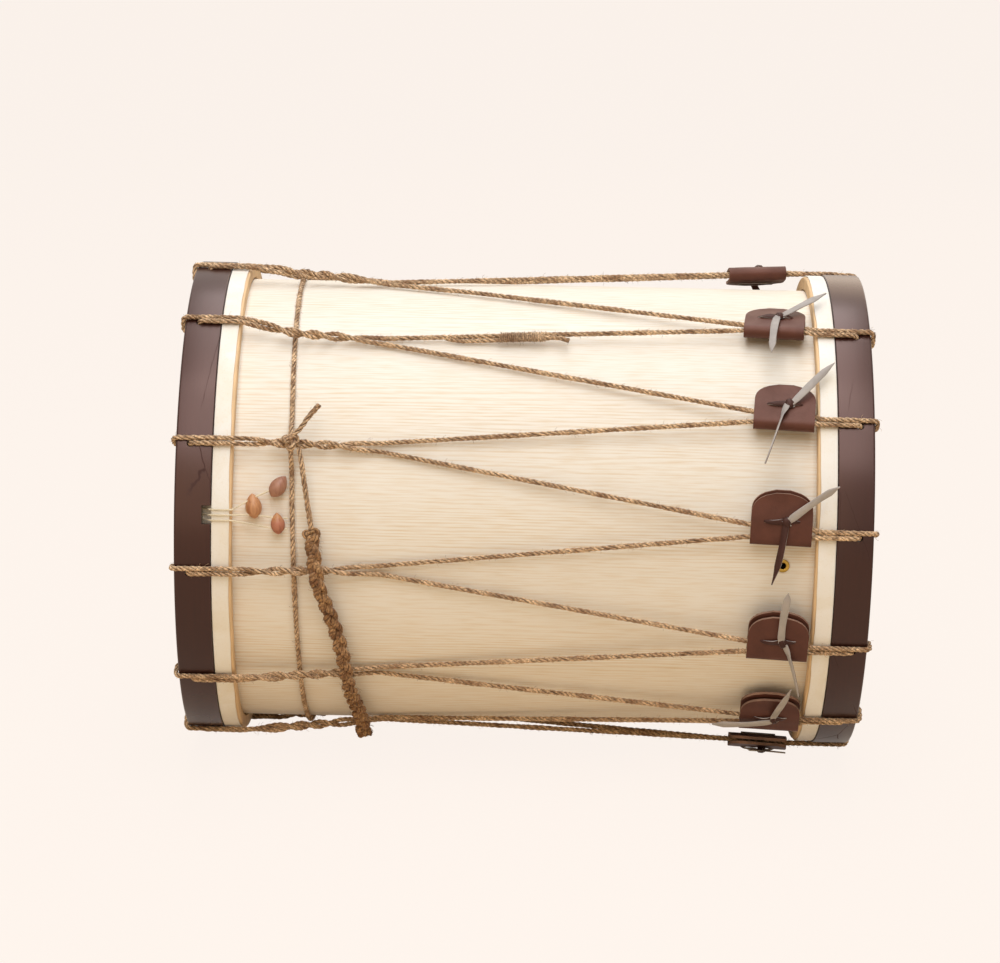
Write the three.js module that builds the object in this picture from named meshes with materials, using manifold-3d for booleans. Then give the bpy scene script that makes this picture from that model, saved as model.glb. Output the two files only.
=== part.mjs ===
// Renaissance rope drum, lying on its side as it is put down on a floor.
// Millimetres. X runs along the drum's axis, -Y is the front, Z is up, and the floor is Z = 0.
// Angles go round the axis: 0 faces the front, 90 the top and -90 the floor.

import * as THREE from 'three';
import { mergeVertices } from 'three/addons/utils/BufferGeometryUtils.js';
import Module from 'manifold-3d';

const wasm = await Module();
wasm.setup();

// Shell and its glued rings
const SHELL_RADIUS = 152.4;
const SHELL_WALL = 5;
const EDGE_ROUND = 1.6;
const RING_WALL = 7.7;
const RING_WIDTH = 24;
const RING_SETBACK = 5;

// Counter hoops, flesh hoops and skins
const DRUM_LENGTH = 457;
const HOOP_WALL = 8;
const HOOP_WIDTH = 24;
const HOOP_EDGE = 1.5;
const HOOP_EASE = 2.3;
const HEAD_RECESS = 15.4;
const SKIN = 0.8;
const FLESH_WALL = 8.4;
const FLESH_WIDTH = 12;
const FLESH_EASE = 1.1;
const BARE_WOOD = 1.8;

// Lacing rope and the holes that it passes through
const ROPE = 4.8;
const LACE_COUNT = 12;
const HOLE_EASE = 2.4;
const HOLE_INSET = 9.5;
const INNER_BEND = 0.8;
const PAIR_GAP = 0.8;
const PARTING_FROM_RIM = 133.5;
const LACE_SIDES = 5;

// The drum lies on its lacing, and the hoops' holes were drilled by eye
const REST_ROLL = -3.5;
const RIGHT_DRIFT = [6, -12.5, -7.5, -3.5, -2, 2, 1.5, 2.5, 2.5, 2.5, 0.5, -1.5];
const LEFT_DRIFT = [0, 2.7, 0, 0, 0, 0, 0, 0, 0, 0, 0, 0];

// Sliding leather tugs and the thongs that close them
const TUG_WIDTH = 40;
const TUG_HEIGHT = 36.5;
const TUG_LEATHER = 2;
const TUG_CORNER = 14;
const TUG_SPREAD = 8;
const TUG_ROLL = [8.5, 2.5, 6, -9, 1, 12, 6, 6, 6, 6, 6, 6];
const TUG_SETBACK = [11, 7, 2.3, 3.5, 2.3, 2.3, 4, 3, 5, 3, 4, 6];
const ROPE_EASE = 0.4;
const THONG_THICK = 1.4;
const THONG_BAR = 3.2;
const THONG_SPAN = 21;
const SLIT_EASE = 0.4;
const KNOT_LENGTH = 7.5;
const KNOT_HEIGHT = 1.8;
const KNOT_SIDE = 3;
const TAIL_WIDTH = 5.4;
const TAIL_LENGTH = 42;
const TAIL_LIFT = 5;
const FLOOR_FACING = -0.8;
const TAIL_ANGLES = [
  [80, 106], [45, 266], [47, 252], [38, 259], [90, 290], [80, 192],
  [72, 106], [0, 176], [60, 190], [35, 250], [50, 265], [30, 255],
];

// Girdle rope round the shell, its knot, and the plaited drag rope
const GIRDLE_FROM_RIM = 77.5;
const GIRDLE_SLANT = 5;
const KNOT_PAIR = 2;
const GIRDLE_KNOT = [12, 13, 8];
const GIRDLE_TAIL = 30;
const BRAID = 11;

// Points down the drag rope: distance from the left rim, height over the shell, angle
const DRAG_LEAD = [
  [80.7, 14.5, 24.9], [82.7, 14, 21.8], [85.5, 11, 15.5], [88, 8, 10], [89.3, 6.6, 6.6],
];
const DRAG_BRAID = [
  [89.7, 8.2, 5], [91.4, 12.8, 1], [93.4, 15.8, -3.5], [95.4, 14.8, -7], [100, 10, -12.5],
  [105.5, 8, -19], [110, 10.6, -26.5], [113, 13.8, -33.5], [114.8, 12, -39.5],
  [117.2, 8.6, -46], [119.3, 9, -52], [120.5, 11.8, -57.5], [121.3, 13.8, -62.5],
];

// Snare strings across the left head, and the wooden toggles that bind them
const STRING = 1.2;
const STRING_PITCH = 3.5;
const SNARE_ANGLE = 9.5;
const NOTCH_WIDTH = 12.2;
const NOTCH_DEPTH = 6;
const BEAD_LENGTH = 17;
const BEAD_WIDTH = 11;

// Front run of each string: distance from the rim, height over the shell, and way up from the notch
const NEAR_ROW = 51.5;
const FAR_ROW = 67.5;
const STRING_FRONT = [
  [[FAR_ROW, 6.2, -8.5]],
  [[NEAR_ROW, 7.2, 0.5], [FAR_ROW, 6.2, -1.6]],
  [[NEAR_ROW, 7.2, 10.9], [FAR_ROW, 6.2, 18.4]],
];
const TOGGLES = [
  { fromRim: NEAR_ROW, up: 5.7, strings: [1, 2] },
  { fromRim: FAR_ROW, up: 18.4, strings: [2] },
  { fromRim: FAR_ROW, up: -5, strings: [0, 1] },
];

// Brass eyelet round the air hole
const VENT_HOLE = 4;
const VENT_FLANGE = 9;
const VENT_BRASS = 0.8;
const VENT_FROM_RIM = 58;
const VENT_ANGLE = -0.5;

// Clearance between touching pieces, and steps round a full turn
const FIT = 0.3;
const TURN_STEPS = 40;
const RING_STEPS = 20;
const GIRDLE_STEPS = 36;
const VENT_STEPS = 12;
const SMALL_STEPS = 8;
const STRING_HOLE_STEPS = 4;

// Places that follow from those sizes
const ropeRadius = ROPE / 2;
const ropeBend = ropeRadius + INNER_BEND;
const pairHalf = (ROPE + PAIR_GAP) / 2;
const rimX = DRUM_LENGTH / 2;
const hoopInnerX = rimX - HOOP_WIDTH;
const headX = rimX - HEAD_RECESS;
const shellEndX = headX - SKIN - FIT;
const lapTopX = hoopInnerX - FIT;
const fleshTopX = lapTopX - SKIN - FIT;
const fleshEndX = fleshTopX - FLESH_WIDTH;
const lapEndX = fleshEndX + BARE_WOOD;
const collarInner = SHELL_RADIUS + FIT;
const collarOuter = collarInner + SKIN;
const hoopInner = collarOuter + HOOP_EASE;
const hoopOuter = hoopInner + HOOP_WALL;
const hoopMiddle = (hoopInner + hoopOuter) / 2;
const fleshInner = SHELL_RADIUS + FLESH_EASE;
const fleshOuter = fleshInner + FLESH_WALL;
const lapInner = fleshOuter + FIT;
const lapOuter = lapInner + SKIN;
const holeX = rimX - HOLE_INSET;
const rimRopeX = rimX + FIT + ropeRadius;
const ropeOnHoop = hoopOuter + FIT + ropeRadius;
const ropeInHoop = hoopInner * Math.cos(Math.PI / TURN_STEPS) - FIT - ropeRadius;
const ropeOnLap = Math.max(ropeOnHoop, lapOuter + FIT + ropeRadius);
const girdleRadius = (SHELL_RADIUS + FIT + ropeRadius) / Math.cos(Math.PI / GIRDLE_STEPS);
const ropeOnGirdle = girdleRadius + ROPE + FIT;
const ropeOnShell = SHELL_RADIUS + 2 * FIT + ropeRadius;
const girdleX = -(rimX - GIRDLE_FROM_RIM);
const partingX = -(rimX - PARTING_FROM_RIM);
const lacePitch = 360 / LACE_COUNT;

// Colours
const paint = (color, roughness, metalness = 0) =>
  new THREE.MeshStandardMaterial({ color, roughness, metalness });
const PINE = paint('#e9d3a8', 0.6);
const STAINED_ASH = paint('#43211b', 0.38);
const BENT_ASH = paint('#dcae74', 0.65);
const CALFSKIN = paint('#efe4d2', 0.55);
const JUTE = paint('#a97c4a', 0.9);
const TUG_HIDE = paint('#5a3a31', 0.55);
const THONG_HIDE = paint('#9a8d86', 0.85);
const GUT = paint('#e8d2ae', 0.5);
const BEAD_WOOD = paint('#c48a56', 0.4);
const BRASS = paint('#b8923f', 0.3, 1);

const radians = THREE.MathUtils.degToRad;
const item = (list, index) => list[(index + list.length) % list.length];

const drum = new THREE.Group();

function piece(name, geometry, material, parent = drum) {
  const mesh = new THREE.Mesh(geometry, material);
  mesh.name = name;
  parent.add(mesh);
  return mesh;
}

// Directions and points round the axis
const outward = (angle) =>
  new THREE.Vector3(0, -Math.cos(radians(angle)), Math.sin(radians(angle)));
const around = (angle) =>
  new THREE.Vector3(0, Math.sin(radians(angle)), Math.cos(radians(angle)));

function polar(x, radius, angle, sideways = 0) {
  const point = outward(angle).multiplyScalar(radius);
  point.addScaledVector(around(angle), sideways);
  point.x = x;
  return point;
}

// Closed geometry with merged corners and faces that point out
function closed(geometry) {
  geometry.deleteAttribute('normal');
  geometry.deleteAttribute('uv');
  const merged = mergeVertices(geometry, 1e-4);
  const corner = merged.attributes.position;
  const index = merged.index.array;
  const [a, b, c] = [new THREE.Vector3(), new THREE.Vector3(), new THREE.Vector3()];
  const kept = [];
  let volume = 0;
  for (let i = 0; i < index.length; i += 3) {
    const [i0, i1, i2] = [index[i], index[i + 1], index[i + 2]];
    if (i0 === i1 || i1 === i2 || i2 === i0) continue;
    a.fromBufferAttribute(corner, i0);
    b.fromBufferAttribute(corner, i1);
    c.fromBufferAttribute(corner, i2);
    volume += a.dot(b.cross(c));
    kept.push(i0, i1, i2);
  }
  merged.setIndex(volume < 0 ? kept.reverse() : kept);
  merged.computeVertexNormals();
  return merged;
}

function toSolid(geometry) {
  const merged = closed(geometry);
  return new wasm.Manifold(new wasm.Mesh({
    numProp: 3,
    vertProperties: new Float32Array(merged.attributes.position.array),
    triVerts: new Uint32Array(merged.index.array),
  }));
}

function toGeometry(solid) {
  const mesh = solid.getMesh();
  const geometry = new THREE.BufferGeometry();
  geometry.setAttribute('position', new THREE.BufferAttribute(mesh.vertProperties, 3));
  geometry.setIndex(new THREE.BufferAttribute(mesh.triVerts, 1));
  geometry.computeVertexNormals();
  return geometry;
}

// Profile of [radius, x] corners turned about the drum's axis
function turned(corners, steps = TURN_STEPS) {
  const profile = corners.map(([radius, x]) => new THREE.Vector2(radius, x));
  if (profile[0].x > 0) profile.push(profile[0].clone());
  return closed(new THREE.LatheGeometry(profile, steps).rotateZ(-Math.PI / 2));
}

// Round peg centred on a point and lying along a direction
function peg(radius, length, sides, place, direction) {
  const geometry = new THREE.CylinderGeometry(radius, radius, length, sides);
  const turn = new THREE.Quaternion().setFromUnitVectors(new THREE.Vector3(0, 1, 0), direction);
  geometry.applyQuaternion(turn);
  return geometry.translate(place.x, place.y, place.z);
}

// Route of corners, the bent ones rounded to the rope's own bend
function route(corners) {
  const points = [];
  corners.forEach(({ at, bend }, i) => {
    if (!bend) {
      points.push(at);
      return;
    }
    const back = corners[i - 1].at.clone().sub(at).normalize();
    const ahead = corners[i + 1].at.clone().sub(at).normalize();
    const half = back.angleTo(ahead) / 2;
    const reach = bend / Math.tan(half);
    const middle = back.clone().add(ahead).normalize();
    points.push(at.clone().addScaledVector(back, reach));
    points.push(at.clone().addScaledVector(middle, bend / Math.sin(half) - bend));
    points.push(at.clone().addScaledVector(ahead, reach));
  });
  return points;
}

// Curve whose steps fall on the given points, so that only bends cost faces
class Route extends THREE.Curve {
  constructor(points) {
    super();
    this.points = points;
  }

  getPoint(t, target = new THREE.Vector3()) {
    const last = this.points.length - 1;
    const step = Math.min(Math.floor(t * last + 1e-6), last - 1);
    return target.lerpVectors(this.points[step], this.points[step + 1], t * last - step);
  }

  getPointAt(u, target) {
    return this.getPoint(u, target);
  }

  getTangentAt(u, target = new THREE.Vector3()) {
    const last = this.points.length - 1;
    const step = Math.round(u * last);
    target.set(0, 0, 0);
    if (step > 0) target.add(this.along(step - 1));
    if (step < last) target.add(this.along(step));
    return target.normalize();
  }

  along(step) {
    return this.points[step + 1].clone().sub(this.points[step]).normalize();
  }
}

function tube(points, radius, sides) {
  const section = new THREE.Shape();
  for (let i = 0; i < sides; i += 1) {
    const angle = (2 * Math.PI * i) / sides;
    const [x, y] = [radius * Math.cos(angle), radius * Math.sin(angle)];
    if (i === 0) section.moveTo(x, y);
    else section.lineTo(x, y);
  }
  const options = { steps: points.length - 1, extrudePath: new Route(points) };
  return new THREE.ExtrudeGeometry(section, options);
}

// Girdle's place along the drum, which slants a little
const girdleAt = (angle) => girdleX - GIRDLE_SLANT * Math.sin(radians(angle));

// Angles of the lacing pairs
const leftAngle = (pair) => 90 - lacePitch * pair + REST_ROLL;
const holeAngle = (pair) => leftAngle(pair) + item(LEFT_DRIFT, pair);
const rightAngle = (span) =>
  leftAngle(span) + lacePitch / 2 + item(RIGHT_DRIFT, span);

function addShell() {
  const inner = SHELL_RADIUS - SHELL_WALL;
  const wall = turned([
    [inner, -shellEndX + EDGE_ROUND],
    [inner + EDGE_ROUND, -shellEndX],
    [SHELL_RADIUS - EDGE_ROUND, -shellEndX],
    [SHELL_RADIUS, -shellEndX + EDGE_ROUND],
    [SHELL_RADIUS, shellEndX - EDGE_ROUND],
    [SHELL_RADIUS - EDGE_ROUND, shellEndX],
    [inner + EDGE_ROUND, shellEndX],
    [inner, shellEndX - EDGE_ROUND],
  ]);
  const ventPlace = polar(rimX - VENT_FROM_RIM, SHELL_RADIUS, VENT_ANGLE);
  const drilled = VENT_HOLE / 2 + VENT_BRASS + FIT;
  const vent = peg(drilled, 4 * SHELL_WALL, VENT_STEPS, ventPlace, outward(VENT_ANGLE));
  piece('shell', toGeometry(toSolid(wall).subtract(toSolid(vent))), PINE);

  const ringOuter = inner - FIT;
  const ringEnd = shellEndX - RING_SETBACK;
  for (const [side, sign] of [['left', -1], ['right', 1]]) {
    const ring = turned([
      [ringOuter - RING_WALL, sign * (ringEnd - RING_WIDTH)],
      [ringOuter, sign * (ringEnd - RING_WIDTH)],
      [ringOuter, sign * ringEnd],
      [ringOuter - RING_WALL, sign * ringEnd],
    ], RING_STEPS);
    piece(`bearing_ring_${side}`, ring, PINE);
  }
}

function addVent() {
  const bore = VENT_HOLE / 2;
  const flange = VENT_FLANGE / 2;
  const profile = [
    [bore, -SHELL_WALL],
    [bore + VENT_BRASS, -SHELL_WALL],
    [bore + VENT_BRASS, FIT],
    [flange, FIT],
    [flange - VENT_BRASS / 2, FIT + VENT_BRASS],
    [bore + VENT_BRASS / 2, FIT + VENT_BRASS],
    [bore, FIT + VENT_BRASS / 2],
  ].map(([radius, height]) => new THREE.Vector2(radius, height));
  profile.push(profile[0].clone());
  const turnedBrass = closed(new THREE.LatheGeometry(profile, VENT_STEPS));
  const eyelet = piece('vent_eyelet', turnedBrass, BRASS);
  eyelet.position.copy(polar(rimX - VENT_FROM_RIM, SHELL_RADIUS, VENT_ANGLE));
  eyelet.quaternion.setFromUnitVectors(new THREE.Vector3(0, 1, 0), outward(VENT_ANGLE));
}

// Counter hoop with its lacing holes, and for the snare side two notches
function hoopSolid(sign, angles, notched) {
  let hoop = toSolid(turned([
    [hoopInner, sign * hoopInnerX],
    [hoopOuter, sign * hoopInnerX],
    [hoopOuter, sign * (rimX - HOOP_EDGE)],
    [hoopOuter - HOOP_EDGE, sign * rimX],
    [hoopInner + HOOP_EDGE, sign * rimX],
    [hoopInner, sign * (rimX - HOOP_EDGE)],
  ]));
  for (const angle of angles) {
    const place = polar(sign * holeX, hoopMiddle, angle, -pairHalf);
    const bore = (ROPE + HOLE_EASE) / 2;
    const hole = peg(bore, 2 * HOOP_WALL, SMALL_STEPS, place, outward(angle));
    hoop = hoop.subtract(toSolid(hole));
  }
  if (notched) {
    const notch = new THREE.BoxGeometry(2 * NOTCH_DEPTH, 4 * hoopOuter, NOTCH_WIDTH);
    notch.rotateX(radians(-SNARE_ANGLE)).translate(sign * hoopInnerX, 0, 0);
    hoop = hoop.subtract(toSolid(notch));
  }
  return hoop;
}

function addHeads() {
  const pairs = [...Array(LACE_COUNT).keys()];
  const ends = [
    ['left', -1, pairs.map(holeAngle), true],
    ['right', 1, pairs.map(rightAngle), false],
  ];
  for (const [side, sign, angles, notched] of ends) {
    piece(`counter_hoop_${side}`, toGeometry(hoopSolid(sign, angles, notched)), STAINED_ASH);

    piece(`flesh_hoop_${side}`, turned([
      [fleshInner, sign * fleshEndX],
      [fleshOuter, sign * fleshEndX],
      [fleshOuter, sign * fleshTopX],
      [fleshInner, sign * fleshTopX],
    ]), BENT_ASH);

    // Skin: flat head, rolled edge, collar, then the lap over the flesh hoop
    piece(`head_${side}`, turned([
      [0, sign * headX],
      [SHELL_RADIUS - EDGE_ROUND, sign * headX],
      [collarOuter, sign * (headX - EDGE_ROUND - SKIN)],
      [collarOuter, sign * lapTopX],
      [lapOuter, sign * lapTopX],
      [lapOuter, sign * lapEndX],
      [lapInner, sign * lapEndX],
      [lapInner, sign * (lapTopX - SKIN)],
      [collarInner, sign * (lapTopX - SKIN)],
      [collarInner, sign * (headX - EDGE_ROUND - SKIN)],
      [SHELL_RADIUS - EDGE_ROUND, sign * (headX - SKIN)],
      [0, sign * (headX - SKIN)],
    ]), CALFSKIN);
  }
}

// Where a pair of strands parts, and the plane in which a span's two strands lie
function spanFrame(span) {
  const right = polar(hoopInnerX, ropeOnHoop, rightAngle(span));
  const lower = polar(partingX, ropeOnShell, leftAngle(span), pairHalf);
  const upper = polar(partingX, ropeOnShell, leftAngle(span - 1), -pairHalf);
  const rightward = right.clone().sub(lower.clone().add(upper).divideScalar(2)).normalize();
  const out = rightward.clone().cross(upper.clone().sub(lower)).normalize();
  if (out.dot(outward(rightAngle(span))) < 0) out.negate();
  out.applyAxisAngle(rightward, -radians(item(TUG_ROLL, span)));
  const up = out.clone().cross(rightward);
  const tugRight = fleshEndX - item(TUG_SETBACK, span);
  const middle = right.clone();
  middle.addScaledVector(rightward, (tugRight - right.x) / rightward.x - TUG_WIDTH / 2);
  return { rightward, up, out, middle, lower, upper };
}

// A point beside the middle of a tug, in the plane of its strands
function atTug(frame, along, up) {
  return frame.middle.clone().addScaledVector(frame.rightward, along).addScaledVector(frame.up, up);
}

// Where a long strand would cut into the shell it lies on it instead
function restOnShell(from, to) {
  const flatFrom = new THREE.Vector2(from.y, from.z);
  const run = new THREE.Vector2(to.y, to.z).sub(flatFrom);
  const share = THREE.MathUtils.clamp(-flatFrom.dot(run) / run.lengthSq(), 0, 1);
  const near = from.clone().lerp(to, share);
  const lift = ropeOnShell + FIT - Math.hypot(near.y, near.z);
  if (share === 0 || lift < FIT) return [];
  const away = new THREE.Vector3(0, near.y, near.z).normalize();
  return [near.addScaledVector(away, lift)];
}

// One span: out of a left hole and over the rim, to the right hoop and back to the next left hole
function spanPoints(span) {
  const frame = spanFrame(span);
  const [from, right, to] = [holeAngle(span), rightAngle(span), holeAngle(span - 1)];
  const open = (at) => ({ at });
  const bent = (at) => ({ at, bend: ropeBend });
  const leaveLeft = (side, pair) => {
    const angle = leftAngle(pair);
    return [
      open(polar(-lapEndX, ropeOnLap, holeAngle(pair), side)),
      open(polar(girdleAt(angle), ropeOnGirdle, angle, side)),
      open(polar(partingX, ropeOnShell, angle, side)),
    ];
  };
  const overRim = (sign, angle) => [
    bent(polar(sign * holeX, ropeInHoop, angle, -pairHalf)),
    bent(polar(sign * rimRopeX, ropeInHoop, angle, -pairHalf / 4)),
    bent(polar(sign * rimRopeX, ropeOnHoop, angle, pairHalf / 1.6)),
  ];
  const lowerTug = atTug(frame, -TUG_WIDTH / 2, -TUG_SPREAD / 2);
  const upperTug = atTug(frame, -TUG_WIDTH / 2, TUG_SPREAD / 2);
  return route([
    open(polar(-holeX, hoopMiddle - FIT / 2, from, -pairHalf)),
    ...overRim(-1, from),
    ...leaveLeft(pairHalf, span),
    ...restOnShell(frame.lower, lowerTug).map(open),
    open(lowerTug),
    open(atTug(frame, TUG_WIDTH / 2, -pairHalf)),
    open(polar(lapEndX, ropeOnLap, right, -pairHalf)),
    bent(polar(holeX, ropeOnHoop, right, -pairHalf)),
    ...overRim(1, right),
    open(polar(lapEndX, ropeOnLap, right, pairHalf)),
    open(atTug(frame, TUG_WIDTH / 2, pairHalf)),
    open(upperTug),
    ...restOnShell(frame.upper, upperTug).map(open),
    ...leaveLeft(-pairHalf, span - 1).reverse(),
    bent(polar(-holeX, ropeOnHoop, to, -pairHalf)),
    open(polar(-holeX, hoopMiddle + FIT / 2, to, -pairHalf)),
  ]);
}

// Leather folded round the two strands. Local X is up across the strands, Y is outward.
const leafInside = ropeRadius + ROPE_EASE;
const leafOutside = leafInside + TUG_LEATHER;
const foldAt = -TUG_SPREAD / 2;
const flapTop = foldAt - leafOutside + TUG_HEIGHT;
const thongAt = TUG_SPREAD / 2 + ropeRadius + THONG_BAR / 2;
const slitWidth = THONG_THICK + 2 * SLIT_EASE;

function tugGeometry() {
  const fold = new THREE.Shape();
  fold.moveTo(flapTop, leafOutside);
  fold.absarc(foldAt, 0, leafOutside, Math.PI / 2, -Math.PI / 2, false);
  fold.lineTo(flapTop, -leafOutside);
  fold.lineTo(flapTop, -leafInside);
  fold.absarc(foldAt, 0, leafInside, -Math.PI / 2, Math.PI / 2, true);
  fold.lineTo(flapTop, leafInside);
  const sheet = new THREE.ExtrudeGeometry(fold, {
    depth: TUG_WIDTH, bevelEnabled: false, curveSegments: 4,
  });
  sheet.translate(0, 0, -TUG_WIDTH / 2);

  // Plan of the flap's rounded corners, wider than the sheet everywhere else
  const half = TUG_WIDTH / 2;
  const spare = TUG_LEATHER / 2;
  const low = foldAt - leafOutside - spare;
  const corner = Math.min(TUG_CORNER, half - spare);
  const plan = new THREE.Shape();
  plan.moveTo(low, -half - spare);
  plan.lineTo(flapTop - corner, -half - spare);
  plan.lineTo(flapTop - corner, -half);
  plan.absarc(flapTop - corner, -half + corner, corner, -Math.PI / 2, 0, false);
  plan.absarc(flapTop - corner, half - corner, corner, 0, Math.PI / 2, false);
  plan.lineTo(flapTop - corner, half + spare);
  plan.lineTo(low, half + spare);
  const outline = new THREE.ExtrudeGeometry(plan, {
    depth: 4 * leafOutside, bevelEnabled: false, curveSegments: 3,
  });
  outline.rotateX(Math.PI / 2).translate(0, 2 * leafOutside, 0);

  let leather = toSolid(sheet).intersect(toSolid(outline));
  for (const sign of [-1, 1]) {
    const slit = new THREE.BoxGeometry(THONG_BAR + 2 * SLIT_EASE, 4 * leafOutside, slitWidth);
    slit.translate(thongAt, 0, sign * THONG_SPAN / 2);
    leather = leather.subtract(toSolid(slit));
  }
  return toGeometry(leather);
}

// Thong: a flat loop through the two slits, a knot on the outer leaf and two pointed tails
function thongGeometry(angles, lift) {
  const seat = leafOutside + FIT;
  const top = seat + THONG_THICK;
  const reach = THONG_SPAN / 2 + THONG_THICK / 2;
  const loop = new THREE.Shape();
  loop.moveTo(-reach, -top).lineTo(reach, -top).lineTo(reach, top).lineTo(-reach, top);
  const opening = new THREE.Path();
  const inside = reach - THONG_THICK;
  opening.moveTo(-inside, -seat).lineTo(-inside, seat).lineTo(inside, seat).lineTo(inside, -seat);
  loop.holes.push(opening);
  const band = new THREE.ExtrudeGeometry(loop, { depth: THONG_BAR, bevelEnabled: false });
  band.translate(0, 0, -THONG_BAR / 2).rotateY(-Math.PI / 2).translate(thongAt, 0, 0);
  let thong = toSolid(band);

  const knotHeight = THONG_THICK + KNOT_HEIGHT;
  const knot = new THREE.SphereGeometry(0.5, 6, 4);
  knot.scale(THONG_BAR + TAIL_WIDTH / 2, knotHeight, KNOT_LENGTH);
  knot.translate(thongAt, seat + knotHeight / 2, KNOT_SIDE);
  thong = thong.add(toSolid(knot));

  const half = TAIL_WIDTH / 2;
  const blade = new THREE.Shape();
  const shoulder = TAIL_LENGTH - 3 * TAIL_WIDTH;
  blade.moveTo(0, -half / 2).lineTo(shoulder, -half).lineTo(TAIL_LENGTH, 0);
  blade.lineTo(shoulder, half).lineTo(0, half / 2);
  for (const angle of angles) {
    const tail = new THREE.ExtrudeGeometry(blade, { depth: THONG_THICK, bevelEnabled: false });
    tail.rotateX(-Math.PI / 2).rotateZ(radians(lift));
    tail.rotateY(radians(angle) - Math.PI / 2).translate(thongAt, top, KNOT_SIDE);
    thong = thong.add(toSolid(tail));
  }
  return toGeometry(thong);
}

function addLacing() {
  for (let span = 0; span < LACE_COUNT; span += 1) {
    const number = String(span + 1).padStart(2, '0');
    piece(`tension_rope_${number}`, closed(tube(spanPoints(span), ropeRadius, LACE_SIDES)), JUTE);

    const { rightward, up, out, middle } = spanFrame(span);
    const tug = new THREE.Group();
    tug.quaternion.setFromRotationMatrix(new THREE.Matrix4().makeBasis(up, out, rightward));
    tug.position.copy(middle);
    drum.add(tug);
    piece(`tug_${number}`, tugGeometry(), TUG_HIDE, tug);
    const lift = out.z < FLOOR_FACING ? 0 : TAIL_LIFT;
    piece(`thong_${number}`, thongGeometry(item(TAIL_ANGLES, span), lift), THONG_HIDE, tug);
  }
}

// Girdle: one turn of rope on the shell, its two ends drawn up over a pair of strands to a knot
const knotAngle = leftAngle(KNOT_PAIR);
const [knotLong, knotWide, knotHigh] = GIRDLE_KNOT;
const knotRadius = ropeOnGirdle + ropeRadius + FIT + knotHigh / 2;

function addGirdle() {
  const pairEdge = pairHalf + 2 * ropeRadius + FIT;
  const risingEnd = (sign) => {
    const steps = [
      [knotWide / 2 + 3 * FIT, knotRadius],
      [pairEdge + ROPE / 3, girdleRadius + 0.7 * (knotRadius - girdleRadius)],
      [pairEdge + 1.4 * ROPE, girdleRadius + 0.2 * (knotRadius - girdleRadius)],
    ];
    return steps.map(([sideways, radius]) => {
      const angle = knotAngle + THREE.MathUtils.radToDeg((sign * sideways) / girdleRadius);
      return polar(girdleAt(angle), radius, angle);
    });
  };
  const lying = [...Array(GIRDLE_STEPS + 1).keys()].map((step) => {
    const leave = THREE.MathUtils.radToDeg((pairEdge + 3 * ROPE) / girdleRadius);
    const angle = knotAngle + leave + (step / GIRDLE_STEPS) * (360 - 2 * leave);
    return polar(girdleAt(angle), girdleRadius, angle);
  });
  const points = [...risingEnd(1), ...lying, ...risingEnd(-1).reverse()];
  piece('girdle_rope', closed(tube(points, ropeRadius, LACE_SIDES)), JUTE);

  const lump = new THREE.SphereGeometry(0.5, 8, 5);
  lump.scale(knotLong, knotHigh, knotWide).rotateX(Math.PI);
  const facing = new THREE.Matrix4().makeBasis(
    new THREE.Vector3(1, 0, 0), outward(knotAngle), around(knotAngle).negate());
  const knotPlace = polar(girdleAt(knotAngle), knotRadius, knotAngle);
  lump.applyMatrix4(facing.setPosition(knotPlace));
  const tailPoints = [
    knotPlace,
    polar(girdleAt(knotAngle) + knotLong / 2, knotRadius + knotHigh / 4, knotAngle, GIRDLE_TAIL / 3),
    polar(girdleAt(knotAngle) + knotLong, knotRadius + knotHigh / 2, knotAngle, GIRDLE_TAIL),
  ];
  const tail = tube(tailPoints, ropeRadius, LACE_SIDES);
  piece('girdle_knot', toGeometry(toSolid(lump).add(toSolid(tail))), JUTE);
}

// The girdle's long end hangs down the front and is plaited
const beside = ([fromRim, height, angle]) => polar(fromRim - rimX, SHELL_RADIUS + height, angle);

function addDragRope() {
  const lead = DRAG_LEAD.map(beside);
  piece('drag_lead', closed(tube(lead, ropeRadius, SMALL_STEPS)), JUTE);
  const plait = new THREE.CatmullRomCurve3(DRAG_BRAID.map(beside));
  const plaitPoints = plait.getSpacedPoints(Math.round(1.5 * DRAG_BRAID.length));
  piece('drag_braid', closed(tube(plaitPoints, BRAID / 2, SMALL_STEPS)), JUTE);
}

// Strings lie across the left head, drop through the notches and run to the girdle
const stringClear = STRING / 2 + FIT;
const angleUp = (up) => SNARE_ANGLE + THREE.MathUtils.radToDeg(up / SHELL_RADIUS);
const byNotch = ([fromRim, height, up]) => beside([fromRim, height, angleUp(up)]);

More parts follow.
